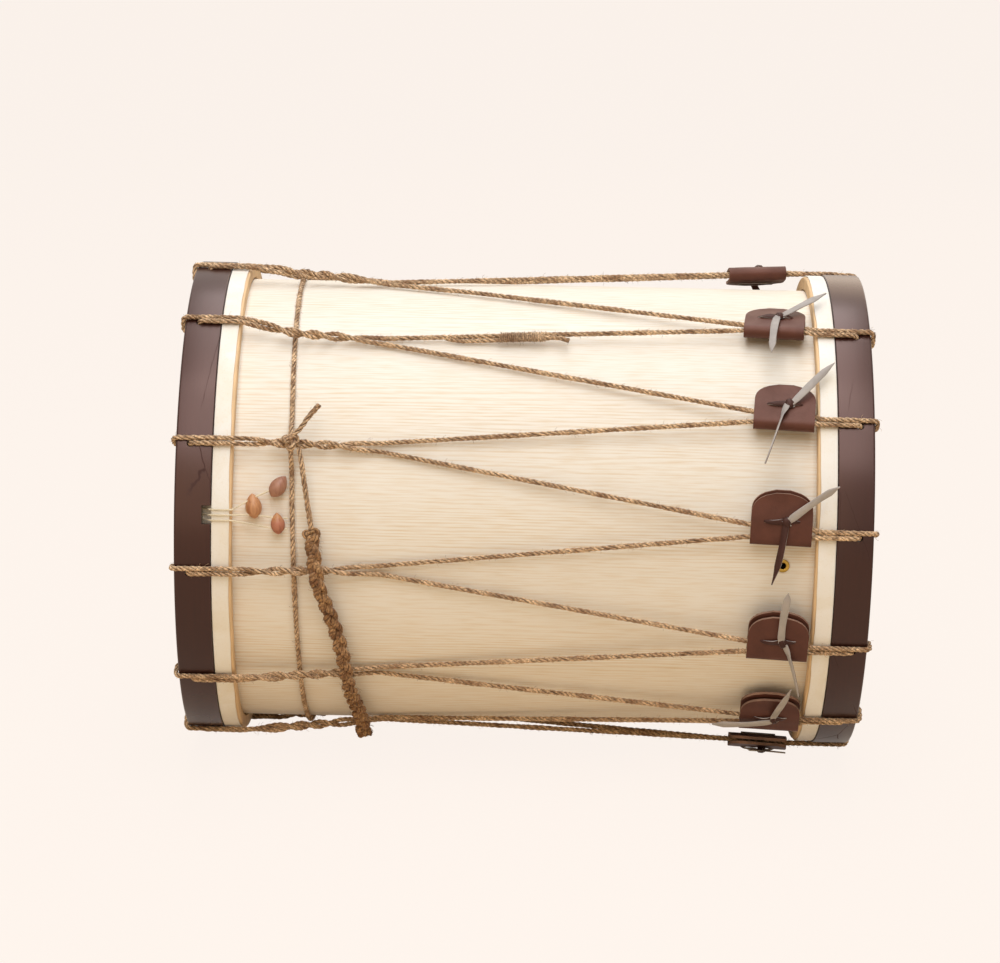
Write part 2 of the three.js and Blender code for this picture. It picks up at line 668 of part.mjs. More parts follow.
function stringPoints(index) {
  const offset = (index - (STRING_FRONT.length - 1) / 2) * STRING_PITCH;
  const overEdge = [
    [headX + stringClear, SHELL_RADIUS - EDGE_ROUND - STRING],
    [headX + SKIN / 4, SHELL_RADIUS],
    [hoopInnerX + NOTCH_DEPTH + FIT, (collarOuter + hoopInner) / 2],
    [hoopInnerX + NOTCH_DEPTH / 2, hoopInner + STRING],
    [lapTopX + FIT + STRING, lapOuter - STRING / 2],
    [lapTopX - FIT, lapOuter + stringClear],
    [lapEndX, lapOuter + stringClear],
    [fleshEndX - FIT, fleshOuter + stringClear],
  ];
  const endOn = (angle) => girdleAt(angle) - ropeRadius - FIT;
  const front = overEdge.map(([x, reach]) => polar(-x, reach, SNARE_ANGLE, offset));
  const back = overEdge.map(([x, reach]) => polar(-x, -reach, SNARE_ANGLE, offset));
  const ties = STRING_FRONT[index];
  const [, lastHeight, lastUp] = ties[ties.length - 1];
  const lastAngle = angleUp(lastUp);
  const tied = polar(endOn(lastAngle), SHELL_RADIUS + lastHeight - STRING, lastAngle);
  const backTie = polar(endOn(SNARE_ANGLE + 180), -girdleRadius, SNARE_ANGLE, offset);
  return [backTie, ...back.reverse(), ...front, ...ties.map(byNotch), tied];
}

function addSnare() {
  const routes = STRING_FRONT.map((run, index) => stringPoints(index));
  routes.forEach((points, index) => {
    piece(`snare_string_${index + 1}`, closed(tube(points, STRING / 2, LACE_SIDES)), GUT);
  });

  const half = BEAD_LENGTH / 2;
  const almond = [[0, -1], [0.7, -0.7], [1, -0.1], [0.8, 0.55], [0, 1]];
  TOGGLES.forEach(({ fromRim, up, strings }, index) => {
    const angle = angleUp(up);
    const profile = almond.map(([wide, long]) => new THREE.Vector2(wide * BEAD_WIDTH / 2, long * half));
    const bead = new THREE.LatheGeometry(profile, SMALL_STEPS);
    const place = beside([fromRim, FIT + BEAD_WIDTH / 2, angle]);
    bead.applyQuaternion(
      new THREE.Quaternion().setFromUnitVectors(new THREE.Vector3(0, 1, 0), around(angle)));
    let solid = toSolid(bead.translate(place.x, place.y, place.z));
    for (const string of strings) {
      const frontRun = routes[string].slice(-STRING_FRONT[string].length - 2);
      solid = solid.subtract(toSolid(tube(frontRun, stringClear, STRING_HOLE_STEPS)));
    }
    piece(`snare_toggle_${index + 1}`, toGeometry(solid), BEAD_WOOD);
  });
}

addShell();
addVent();
addHeads();
addLacing();
addGirdle();
addDragRope();
addSnare();

// Stand the lowest point on the floor
drum.updateMatrixWorld(true);
drum.position.z = -new THREE.Box3().setFromObject(drum, true).min.z;

export default drum;
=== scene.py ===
"""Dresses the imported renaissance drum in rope, skin, leather and wood, and lights its studio."""

import functools
import math
import random

import bmesh
import bpy
from mathutils import Matrix, Quaternion, Vector, noise


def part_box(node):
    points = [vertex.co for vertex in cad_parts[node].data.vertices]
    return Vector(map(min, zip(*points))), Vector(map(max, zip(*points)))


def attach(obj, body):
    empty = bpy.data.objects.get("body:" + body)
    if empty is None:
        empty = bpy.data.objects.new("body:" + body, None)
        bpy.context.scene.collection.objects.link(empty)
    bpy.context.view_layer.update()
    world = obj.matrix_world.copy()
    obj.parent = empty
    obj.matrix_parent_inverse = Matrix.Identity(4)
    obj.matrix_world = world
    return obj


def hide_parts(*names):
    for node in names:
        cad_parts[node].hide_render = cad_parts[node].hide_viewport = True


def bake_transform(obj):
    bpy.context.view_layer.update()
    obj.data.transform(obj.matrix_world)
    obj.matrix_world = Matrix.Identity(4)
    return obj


bl_info = {
    "name": "Renaissance drum",
    "version": (1, 0, 0),
    "blender": (4, 5, 0),
    "location": "View3D > Sidebar > Drum",
    "description": "Builds the visible pieces of a rope-tensioned drum on its packed frame",
    "category": "Add Mesh",
}

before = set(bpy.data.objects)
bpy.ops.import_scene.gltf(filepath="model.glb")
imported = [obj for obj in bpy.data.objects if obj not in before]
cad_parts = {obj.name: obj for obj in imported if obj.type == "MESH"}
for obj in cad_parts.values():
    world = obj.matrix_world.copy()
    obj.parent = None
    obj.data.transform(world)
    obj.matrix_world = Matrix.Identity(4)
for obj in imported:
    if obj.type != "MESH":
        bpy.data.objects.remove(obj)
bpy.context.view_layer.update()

MM = 0.001
ROOT = "drum"

# The drum's axis runs along X at the middle of the shell
_shell_low, _shell_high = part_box("shell")
AXIS_Z = (_shell_low[2] + _shell_high[2]) / 2

# Shell, hoops and skins, as in the part's source
SHELL_RADIUS = 152.4 * MM
SHELL_WALL = 5 * MM
EDGE_ROUND = 1.6 * MM
DRUM_LENGTH = 457 * MM
HOOP_WALL = 8 * MM
HOOP_WIDTH = 24 * MM
HOOP_EASE = 2.3 * MM
HEAD_RECESS = 15.4 * MM
SKIN = 0.8 * MM
FLESH_WALL = 8.4 * MM
FLESH_WIDTH = 12 * MM
FLESH_EASE = 1.1 * MM
BARE_WOOD = 1.8 * MM
FIT = 0.3 * MM

# Lacing
ROPE = 4.8 * MM
LACE_COUNT = 12
HOLE_EASE = 2.4 * MM
HOLE_INSET = 9.5 * MM
INNER_BEND = 0.8 * MM
PAIR_GAP = 0.8 * MM
PARTING_FROM_RIM = 133.5 * MM
REST_ROLL = -3.5
LEFT_DRIFT = (0, 2.7, 0, 0, 0, 0, 0, 0, 0, 0, 0, 0)
RIGHT_DRIFT = (6, -12.5, -7.5, -3.5, -2, 2, 1.5, 2.5, 2.5, 2.5, 0.5, -1.5)
SOFT_BEND = 30 * MM
STRAND_TUCK = 5 * MM
LOOP_TUCK = 2 * MM

# The rope as it is drawn: pulled thinner than its nominal size, and each pair wound together
LACE_RADIUS = 1.75 * MM
LACE_HALF = 1.85 * MM
WOUND_TURNS = 2
WOUND_HALF = 1.75 * MM
WOUND_LIFT = 1.2 * MM
WOUND_LEAD = 4 * MM
WOUND_STEP = 2.5 * MM
STRANDS = 3
SPLICED = 1
SPLICE_ENDS = (-56 * MM, 27 * MM)
BINDING_ENDS = (-19 * MM, 12 * MM)
BINDING_TURNS = 22
BINDING_CORD = 0.6 * MM
KNOT_ROPE = 1.9 * MM
PLAIT_ROPE = 2.65 * MM

# Tugs and thongs
TUG_WIDTH = 40 * MM
TUG_HEIGHT = 36.5 * MM
TUG_CROWN = 14 * MM
CROWN_POWER = 2.3
TUG_SPREAD = 8 * MM
TUG_ROLL = (8.5, 2.5, 6, -9, 1, 12, 6, 6, 6, 6, 6, 6)
TUG_SETBACK = (11, 7, 2.3, 3.5, 2.3, 2.3, 4, 3, 5, 3, 4, 6)
TUG_LEATHER = 2 * MM
ROPE_EASE = 0.4 * MM
THONG_THICK = 1.2 * MM
THONG_BAR = 3.2 * MM
THONG_SPAN = 21 * MM
KNOT_SIDE = 3 * MM
TAIL_WIDTH = 4.9 * MM
TAIL_LENGTH = 42 * MM

# Two tails a thong: direction round the knot, roll of the blade, twist along it, pale side out,
# rise of the tip in millimetres and share of the usual length
TAILS = (
    ((80, 0, 20, True, 2, 1), (106, 0, -20, True, 2, 1)),
    ((45, 0, 8, True, 3, 1), (266, 0, 6, True, -5, 1.05)),
    ((47, 0, 12, True, 4, 1), (252, 70, 10, True, -4, 1.15)),
    ((38, 10, 14, True, 5, 1), (259, 20, 30, False, 3, 1)),
    ((90, 0, 6, True, 4, 1), (290, 62, 8, True, 3, 1)),
    ((80, 10, 10, True, 4, 1), (192, 0, 12, True, 1, 1)),
    ((72, 0, 0, True, 0, 1), (106, 0, 0, True, 0, 1)),
    ((0, 0, 0, True, 0, 1), (176, 0, 0, True, 0, 1)),
    ((60, 0, 14, True, 4, 1), (190, 0, 10, True, 3, 1)),
    ((35, 0, 10, True, 4, 1), (250, 15, 25, False, 4, 1)),
    ((50, 0, 10, True, 4, 1), (265, 10, 12, True, 2, 1)),
    ((30, 0, 8, True, 4, 1), (255, 0, 14, True, 2, 1)),
)

# Girdle, drag rope and snare
GIRDLE_FROM_RIM = 77.5 * MM
GIRDLE_SLANT = 5 * MM
KNOT_PAIR = 2
KNOT_HIGH = 8 * MM
KNOT_LONG = 12 * MM
KNOT_WIDE = 13 * MM
KNOT_TURN = 9.5 * MM
GIRDLE_TAIL = 30 * MM
BRAID = 11 * MM
DRAG_LEAD = ((80.7, 14.5, 24.9), (82.7, 14, 21.8), (85.5, 11, 15.5), (88, 8, 10), (89.3, 6.6, 6.6))
LEAD_TUCK = (90, 9, 4)
DRAG_BRAID = (
    (89.7, 8.2, 5), (91.4, 12.8, 1), (93.4, 15.8, -3.5), (95.4, 14.8, -7), (100, 10, -12.5),
    (105.5, 8, -19), (110, 10.6, -26.5), (113, 13.8, -33.5), (114.8, 12, -39.5),
    (117.2, 8.6, -46), (119.3, 9, -52), (120.5, 11.8, -57.5), (121.3, 13.8, -62.5),
)
STRING = 1.2 * MM
STRING_PITCH = 3.5 * MM
STRING_BEND = 2 * MM
GUT_LAY = 5 * MM
GUT_STEP = 1.2 * MM
SNARE_ANGLE = 9.5
NOTCH_WIDTH = 12.2 * MM
NOTCH_DEPTH = 6 * MM
NEAR_ROW = 51.5
FAR_ROW = 67.5
STRING_FRONT = (
    ((FAR_ROW, 6.2, -8.5),),
    ((NEAR_ROW, 7.2, 0.5), (FAR_ROW, 6.2, -1.6)),
    ((NEAR_ROW, 7.2, 10.9), (FAR_ROW, 6.2, 18.4)),
)
# A toggle: millimetres from the rim and up the shell, lean in degrees, share of the usual size
TOGGLES = ((NEAR_ROW, 5.7, 8, 0.98), (FAR_ROW, 18.4, -34, 0.96), (FAR_ROW, -5, 6, 0.84))
WORN_TOGGLE = 2
BEAD_LENGTH = 17 * MM
BEAD_WIDTH = 11 * MM
VENT_HOLE = 4 * MM
VENT_FLANGE = 9 * MM
VENT_BRASS = 0.8 * MM
VENT_FROM_RIM = 58 * MM
VENT_ANGLE = -0.5

# Places that follow from those sizes
ROPE_RADIUS = ROPE / 2
ROPE_BEND = ROPE_RADIUS + INNER_BEND
PAIR_HALF = (ROPE + PAIR_GAP) / 2
RIM_X = DRUM_LENGTH / 2
HOOP_INNER_X = RIM_X - HOOP_WIDTH
HEAD_X = RIM_X - HEAD_RECESS
SHELL_END_X = HEAD_X - SKIN - FIT
LAP_TOP_X = HOOP_INNER_X - FIT
FLESH_TOP_X = LAP_TOP_X - SKIN - FIT
FLESH_END_X = FLESH_TOP_X - FLESH_WIDTH
LAP_END_X = FLESH_END_X + BARE_WOOD
COLLAR_INNER = SHELL_RADIUS + FIT
COLLAR_OUTER = COLLAR_INNER + SKIN
HOOP_INNER = COLLAR_OUTER + HOOP_EASE
HOOP_OUTER = HOOP_INNER + HOOP_WALL
HOOP_MIDDLE = (HOOP_INNER + HOOP_OUTER) / 2
FLESH_INNER = SHELL_RADIUS + FLESH_EASE
FLESH_OUTER = FLESH_INNER + FLESH_WALL
LAP_INNER = FLESH_OUTER + FIT
LAP_OUTER = LAP_INNER + SKIN
HOLE_X = RIM_X - HOLE_INSET
ROPE_ON_HOOP = HOOP_OUTER + FIT + ROPE_RADIUS
GIRDLE_RADIUS = SHELL_RADIUS + FIT + ROPE_RADIUS
ROPE_ON_GIRDLE = GIRDLE_RADIUS + ROPE + FIT
ROPE_ON_SHELL = SHELL_RADIUS + 2 * FIT + ROPE_RADIUS
KNOT_RADIUS = ROPE_ON_GIRDLE + ROPE_RADIUS + FIT + KNOT_HIGH / 2
LACE_ON_HOOP = HOOP_OUTER + LACE_RADIUS
LACE_IN_HOOP = HOOP_INNER - LACE_RADIUS
LACE_RIM_X = RIM_X + LACE_RADIUS
SPLICE_ROPE = 0.92 * LACE_RADIUS
GUT_RADIUS = 0.58 * STRING
GIRDLE_X = -(RIM_X - GIRDLE_FROM_RIM)
PARTING_X = -(RIM_X - PARTING_FROM_RIM)
LACE_PITCH = 360 / LACE_COUNT
LEAF_INSIDE = ROPE_RADIUS + ROPE_EASE
LEAF_OUTSIDE = LEAF_INSIDE + TUG_LEATHER
LEAF_MIDDLE = LEAF_INSIDE + TUG_LEATHER / 2
FOLD_AT = -TUG_SPREAD / 2
FLAP_TOP = FOLD_AT - LEAF_OUTSIDE + TUG_HEIGHT
THONG_AT = TUG_SPREAD / 2 + ROPE_RADIUS + THONG_BAR / 2

# Facets round the drum and its vent, and half the angle of a corner too straight to round
ROUND_STEPS = 160
SKIN_STEPS = 200
VENT_STEPS = 40
STRAIGHT = math.radians(89.5)

# Where each rope's loose fibres start their random draw
SEEDS = {
    "girdle": 31, "girdle_knot": 33, "lead": 41, "plait": 43, "plait_knots": 45,
    "strands": 100, "splice": 151, "whipping": 152, "loops": 200, "gut": 1,
}

# The studio floor, in metres from its middle to its edge
FLOOR_HALF = 20


def linear(hex_colour):
    """An sRGB hex colour as linear red, green, blue and alpha."""
    parts = [int(hex_colour[i:i + 2], 16) / 255 for i in (1, 3, 5)]
    return (*[c / 12.92 if c <= 0.04045 else ((c + 0.055) / 1.055) ** 2.4 for c in parts], 1.0)


def colour_prop(name, description, hex_colour):
    return bpy.props.FloatVectorProperty(
        name=name, description=description, subtype="COLOR", size=4,
        min=0, max=1, default=linear(hex_colour),
    )


def length_prop(name, description, default):
    return bpy.props.FloatProperty(
        name=name, description=description, default=default, min=0,
        subtype="DISTANCE", unit="LENGTH",
    )


class DrumSizes(bpy.types.PropertyGroup):
    """Sizes of the drum's finish."""

    rope_lay: length_prop("Rope lay", "Length of one full turn of the rope's strands", 17 * MM)
    rope_step: length_prop("Rope step", "Distance between rings along a strand", 1.3 * MM)
    rope_fuzz: bpy.props.FloatProperty(
        name="Rope fuzz", description="Loose fibres on each square metre of strand",
        default=42000, min=0,
    )
    fibre_length: length_prop("Fibre length", "Length of a loose fibre of the rope", 2.6 * MM)
    plait_length: length_prop("Plait length", "Length of one full turn of the plait", 34 * MM)
    lap_wave: length_prop("Lap wave", "How far the trimmed edge of the skin wanders", 0.7 * MM)
    hoop_round: length_prop("Hoop edge", "Radius on the edges of the counter hoops", 1.4 * MM)
    leather_edge: length_prop("Leather edge", "Radius on the cut edges of the tugs", 0.35 * MM)


class DrumColours(bpy.types.PropertyGroup):
    """Colours of the drum's finish."""

    pine_pale: colour_prop("Pine, pale", "Early wood of the shell", "#F0E9DC")
    pine_dark: colour_prop("Pine, dark", "Late wood lines of the shell", "#D9BC8E")
    hoop_stain: colour_prop("Hoop stain", "Stain on the counter hoops", "#2A0F0A")
    hoop_streak: colour_prop("Hoop streak", "Darker streaks in the stain", "#180805")
    flesh_wood: colour_prop("Flesh hoop", "Bare wood of the flesh hoops", "#E6C293")
    skin_pale: colour_prop("Skin, pale", "Clear areas of the skins", "#F4F0E8")
    skin_cloud: colour_prop("Skin, cloud", "Clouded areas of the skins", "#E2D2B1")
    jute_light: colour_prop("Jute, light", "Outer fibres of the rope", "#EBCAA2")
    jute_dark: colour_prop("Jute, dark", "Gaps between the rope's fibres", "#7C5437")
    plait_light: colour_prop("Plait, light", "Outer fibres of the drag rope", "#BC9366")
    plait_dark: colour_prop("Plait, dark", "Gaps between the drag rope's fibres", "#684025")
    tug_brown: colour_prop("Tug leather", "Grain side of the tugs", "#563126")
    tug_edge: colour_prop("Tug cut edge", "Raw edge of the tugs", "#9A7763")
    thong_suede: colour_prop("Thong suede", "Flesh side of the thongs", "#B2AAA4")
    thong_grain: colour_prop("Thong grain", "Grain side of the thongs", "#3E241E")
    gut: colour_prop("Gut", "Snare strings", "#F0E2C4")
    toggle_1: colour_prop("Toggle 1", "Wood of the toggle nearest the hoop", "#C48E62")
    toggle_2: colour_prop("Toggle 2", "Wood of the upper toggle", "#A97A62")
    toggle_3: colour_prop("Toggle 3", "Wood of the lower toggle", "#B5745A")
    brass: colour_prop("Brass", "Eyelet of the air hole", "#C9A24E")
    floor: colour_prop("Floor", "Floor and background as they are seen", "#FFF6EF")
    floor_bounce: colour_prop("Floor, bounce", "Light that the floor throws back up", "#EFDCC0")


def sizes():
    return bpy.context.scene.drum_sizes


def colour(name, share=1):
    """A colour of the drum's finish, or a darker share of it."""
    full = getattr(bpy.context.scene.drum_colours, name)
    return (*[part * share for part in full[:3]], 1)


# Places round the drum


def clamped(share):
    return min(max(share, 0), 1)


def shares(steps):
    """Even steps from 0 to 1."""
    return [k / steps for k in range(steps + 1)]


def off_axis(place):
    """The way from the drum's axis straight out to a point."""
    return Vector((0, place.y, place.z - AXIS_Z))


def outward(angle):
    turn = math.radians(angle)
    return Vector((0, -math.cos(turn), math.sin(turn)))


def around(angle):
    turn = math.radians(angle)
    return Vector((0, math.sin(turn), math.cos(turn)))


def polar(x, radius, angle, sideways=0.0):
    """A point by its place along the axis, its distance from it, its angle and a step sideways."""
    point = outward(angle) * radius + around(angle) * sideways
    return Vector((x, point.y, point.z + AXIS_Z))


def left_angle(pair):
    return 90 - LACE_PITCH * pair + REST_ROLL


def hole_angle(pair):
    return left_angle(pair) + LEFT_DRIFT[pair]


def pair_angle(pair, x):
    """Angle of a pair's middle: it runs straight to the lap's end, then slants to the girdle."""
    share = (x + LAP_END_X) / (girdle_at(left_angle(pair)) + LAP_END_X)
    return left_angle(pair) + LEFT_DRIFT[pair] * (1 - clamped(share))


def right_angle(span):
    return left_angle(span) + LACE_PITCH / 2 + RIGHT_DRIFT[span]


def girdle_at(angle):
    return GIRDLE_X - GIRDLE_SLANT * math.sin(math.radians(angle))


def beside(place):
    """A point of the drag rope: millimetres from the left rim and over the shell, and an angle."""
    from_rim, height, angle = place
    return polar(from_rim * MM - RIM_X, SHELL_RADIUS + height * MM, angle)


def notch_angle(up):
    """The angle of a place that many millimetres up the shell from the notch."""
    return SNARE_ANGLE + math.degrees(up * MM / SHELL_RADIUS)


def by_notch(place):
    from_rim, height, up = place
    return beside((from_rim, height, notch_angle(up)))


def spans():
    """Each span with its number as the pieces write it, and the body of its tug."""
    for span in range(LACE_COUNT):
        number = "%02d" % (span + 1)
        yield span, number, "tug_%s_set" % number


class SpanFrame:
    """The plane of a span's two strands: along, across and out, with the middle of its tug."""

    def __init__(self, span):
        right = polar(HOOP_INNER_X, ROPE_ON_HOOP, right_angle(span))
        self.lower = polar(PARTING_X, ROPE_ON_SHELL, left_angle(span), PAIR_HALF)
        self.upper = polar(PARTING_X, ROPE_ON_SHELL, left_angle(span - 1), -PAIR_HALF)
        self.parting = (self.lower + self.upper) / 2
        self.rightward = (right - self.parting).normalized()
        out = self.rightward.cross(self.upper - self.lower).normalized()
        if out.dot(outward(right_angle(span))) < 0:
            out.negate()
        self.out = Quaternion(self.rightward, -math.radians(TUG_ROLL[span])) @ out
        self.up = self.out.cross(self.rightward)
        tug_right = FLESH_END_X - TUG_SETBACK[span] * MM
        reach = (tug_right - right.x) / self.rightward.x - TUG_WIDTH / 2
        self.middle = right + self.rightward * reach

    def at(self, along, up):
        return self.middle + self.rightward * along + self.up * up

    def matrix(self):
        turn = Matrix((self.up, self.out, self.rightward)).transposed().to_4x4()
        return Matrix.Translation(self.middle) @ turn


# Paths


def bend(start, at, end, steps):
    """Points of a rounded corner."""
    return [start * (1 - t) ** 2 + at * (2 * t * (1 - t)) + end * t ** 2 for t in shares(steps)]


def rounded(corners, steps=5):
    """Corners, each a point and a bend radius, as a path with its bends rounded."""
    path = [corners[0][0]]
    for (before, _), (at, radius), (after, _) in zip(corners, corners[1:], corners[2:]):
        back, ahead = before - at, after - at
        half = back.angle(ahead) / 2
        if half > STRAIGHT:
            path.append(at)
            continue
        reach = min(radius / math.tan(half), 0.45 * back.length, 0.45 * ahead.length)
        path += bend(at + back.normalized() * reach, at, at + ahead.normalized() * reach, steps)
    return [*path, corners[-1][0]]


def smooth(points, steps=8):
    """A path through the points."""
    path = []
    padded = [points[0], *points, points[-1]]
    for before, here, there, after in zip(padded, points, points[1:], padded[3:]):
        for t in shares(steps)[:-1]:
            path.append(0.5 * (
                2 * here + (there - before) * t
                + (2 * before - 5 * here + 4 * there - after) * t ** 2
                + (3 * here - before - 3 * there + after) * t ** 3
            ))
    return [*path, points[-1]]


def resampled(path, step):
    """The path with its points no further apart than the step."""
    dense = [path[0]]
    for a, b in zip(path, path[1:]):
        count = max(1, math.ceil((b - a).length / step))
        dense.extend(a.lerp(b, t) for t in shares(count)[1:])
    return dense


def wound(path, side, pair):
    """A strand's path, wound over the girdle round the other strand of its pair."""
    start = -LAP_END_X - WOUND_LEAD
    winding = []
    for place in resampled(path, WOUND_STEP):
        share = (place.x - start) / (PARTING_X - start)
        if 0 < share < 1:
            angle = pair_angle(pair, place.x)
            out, across = outward(angle), around(angle)
            here = off_axis(place).dot(across)
            full = math.sin(math.pi * share)
            turn = math.tau * WOUND_TURNS * (share - math.sin(math.tau * share) / math.tau)
            reach = side * (abs(here) + (WOUND_HALF - abs(here)) * full)
            step = reach * math.cos(turn) - here
            place = place + across * step + out * (reach * math.sin(turn) + WOUND_LIFT * full)
        winding.append(place)
    return winding


def overhand(centre, first, second, out, size):
    """A tightened overhand knot: a path of that size about its centre."""
    turns = []
    for share in shares(39):
        # Open ends: the knot leaves out a short part of its closed curve
        t = math.tau * (0.06 + 0.88 * share)
        a = math.sin(t) + 2 * math.sin(2 * t)
        b = math.cos(t) - 2 * math.cos(2 * t)
        flat = (first * a + second * b) * (size / 6)
        turns.append(centre + flat - out * (size / 5 * math.sin(3 * t)))
    return turns


def curve_object(name, paths):
    """A curve of one straight-edged spline for each path."""
    curve = bpy.data.curves.new(name, "CURVE")
    curve.dimensions = "3D"
    for path in paths:
        spline = curve.splines.new("POLY")
        spline.points.add(len(path) - 1)
        for point, place in zip(spline.points, path):
            point.co = (*place, 1)
    return linked(name, curve)


# Meshes


def linked(name, data):
    obj = bpy.data.objects.new(name, data)
    bpy.context.collection.objects.link(obj)
    return obj


def smoothed(mesh, sharp=40):
    mesh.shade_smooth()
    mesh.set_sharp_from_angle(angle=math.radians(sharp))


def from_bmesh(name, bm, *materials, sharp=40):
    mesh = bpy.data.meshes.new(name)
    bm.to_mesh(mesh)
    bm.free()
    smoothed(mesh, sharp)
    for material in materials:
        mesh.materials.append(material)
    return linked(name, mesh)


def baked(obj, name):
    """The object's evaluated shape as a plain mesh in its place."""
    graph = bpy.context.evaluated_depsgraph_get()
    mesh = bpy.data.meshes.new_from_object(obj.evaluated_get(graph), depsgraph=graph)
    mesh.name = name
    old, store = obj.data, bpy.data.curves if obj.type == "CURVE" else bpy.data.meshes
    bpy.data.objects.remove(obj)
    store.remove(old)
    return linked(name, mesh)


def profile_rounded(corners, steps=4):
    """A closed outline of radius and place, with each corner rounded by its own radius."""
    outline = []
    for i, (radius, x, soft) in enumerate(corners):
        at = Vector((radius, x))
        if not soft:
            outline.append(at)
            continue
        back = Vector(corners[i - 1][:2]) - at
        ahead = Vector(corners[(i + 1) % len(corners)][:2]) - at
        start = at + back.normalized() * min(soft, 0.49 * back.length)
        end = at + ahead.normalized() * min(soft, 0.49 * ahead.length)
        outline += bend(start, at, end, steps)
    return outline


def bridge(bm, rings, closed=False):
    """Faces from each ring to the next, and from the last to the first if they are closed."""
    faces = []
    for ring, after in zip(rings, rings[1:] + rings[:closed]):
        for i in range(len(ring)):
            j = (i + 1) % len(ring)
            faces.append(bm.faces.new((ring[i], ring[j], after[j], after[i])))
    return faces


def lathe(outline, steps, wander=None, place=polar):
    """A closed outline of radius and place, turned about the drum's axis or another."""
    bm = bmesh.new()
    rings = []
    for share in shares(steps)[:-1]:
        angle = 360 * share
        ring = []
        for radius, x in outline:
            out, along = wander(radius, x, angle) if wander else (0, 0)
            ring.append(bm.verts.new(place(x + along, max(radius + out, 0), angle)))
        rings.append(ring)
    bridge(bm, rings, closed=True)
    bmesh.ops.remove_doubles(bm, verts=bm.verts, dist=1e-6)
    bmesh.ops.dissolve_degenerate(bm, dist=1e-7, edges=bm.edges)
    bmesh.ops.recalc_face_normals(bm, faces=bm.faces)
    return bm


def turned(name, corners, material, steps=ROUND_STEPS, **how):
    """A turned piece by the corners of its outline."""
    return from_bmesh(name, lathe(profile_rounded(corners), steps, **how), finish(material))


def cylinder_along(bm, place, direction, radius, length):
    turn = direction.to_track_quat("Z", "Y").to_matrix().to_4x4()
    bmesh.ops.create_cone(
        bm, cap_ends=True, segments=20, radius1=radius, radius2=radius, depth=length,
        matrix=Matrix.Translation(place) @ turn,
    )


def cut(obj, cutter_bm):
    """The object with the cutter's volume taken out."""
    name, materials = obj.name, list(obj.data.materials)
    cutter = from_bmesh("cutter", cutter_bm)
    modifier = obj.modifiers.new("cut", "BOOLEAN")
    modifier.operation = "DIFFERENCE"
    modifier.solver = "EXACT"
    modifier.object = cutter
    obj.name = name + "_blank"
    result = baked(obj, name)
    bpy.data.objects.remove(cutter)
    result.data.materials.clear()
    for material in materials:
        result.data.materials.append(material)
    smoothed(result.data)
    return result


# Node trees

# The sockets of a Mix node that hold colours: its two inputs and its output
MIX_A, MIX_B, MIXED = 6, 7, 2


def add_node(tree, kind, *sockets, out=0, **settings):
    """Adds a node, sets or links its inputs, and gives one of its outputs, or all for None.

    The kind can end with the node's operation or data type.
    Inputs are given in order, or by key in a dictionary. A list links each of its outputs.
    """
    kind, *word = kind.split()
    prefixes = ("ShaderNode", "GeometryNode", "FunctionNode", "Node", "")
    node = tree.nodes.new(next(p + kind for p in prefixes if hasattr(bpy.types, p + kind)))
    if word:
        setattr(node, "operation" if hasattr(node, "operation") else "data_type", word[0])
    for key, value in settings.items():
        setattr(node, key, value)
    by_key = sockets and isinstance(sockets[0], dict)
    for key, value in sockets[0].items() if by_key else enumerate(sockets):
        for one in value if isinstance(value, list) else [value]:
            if isinstance(one, bpy.types.NodeSocket):
                tree.links.new(one, node.inputs[key])
            else:
                node.inputs[key].default_value = one
    return node.outputs if out is None else node.outputs[out]


def new_tree(name, **inputs):
    """A geometry tree with one output, the function that adds to it, and its named inputs."""
    tree = bpy.data.node_groups.new(name, "GeometryNodeTree")
    for label, kind in inputs.items():
        tree.interface.new_socket(label, in_out="INPUT", socket_type="NodeSocket" + kind)
    tree.interface.new_socket("Geometry", in_out="OUTPUT", socket_type="NodeSocketGeometry")
    add = functools.partial(add_node, tree)
    return tree, add, add("GroupInput", out=None)


def end_tree(add, shape, material):
    """Ends a tree with real geometry in its material."""
    real = add("RealizeInstances", shape)
    done = add("SetMaterial", {"Geometry": real, "Material": material})
    add("GroupOutput", done, out=None)


def path_frame(add, turn_length):
    """On a path: its length so far, its normal, the way across both, and the angle of a twist."""
    along = add("SplineParameter", out="Length")
    tangent = add("InputTangent")
    normal = add("InputNormal")
    across = add("VectorMath CROSS_PRODUCT", tangent, normal)
    turns = add("Math DIVIDE", along, turn_length)
    return along, normal, across, add("Math MULTIPLY", turns, math.tau)


def swung(add, angle, wave, size, way):
    """A vector along the way, as long as a wave of the angle and of that size."""
    share = add("Math " + wave, angle)
    length = add("Math MULTIPLY", share, size)
    return add("VectorMath SCALE", {0: way, "Scale": length})


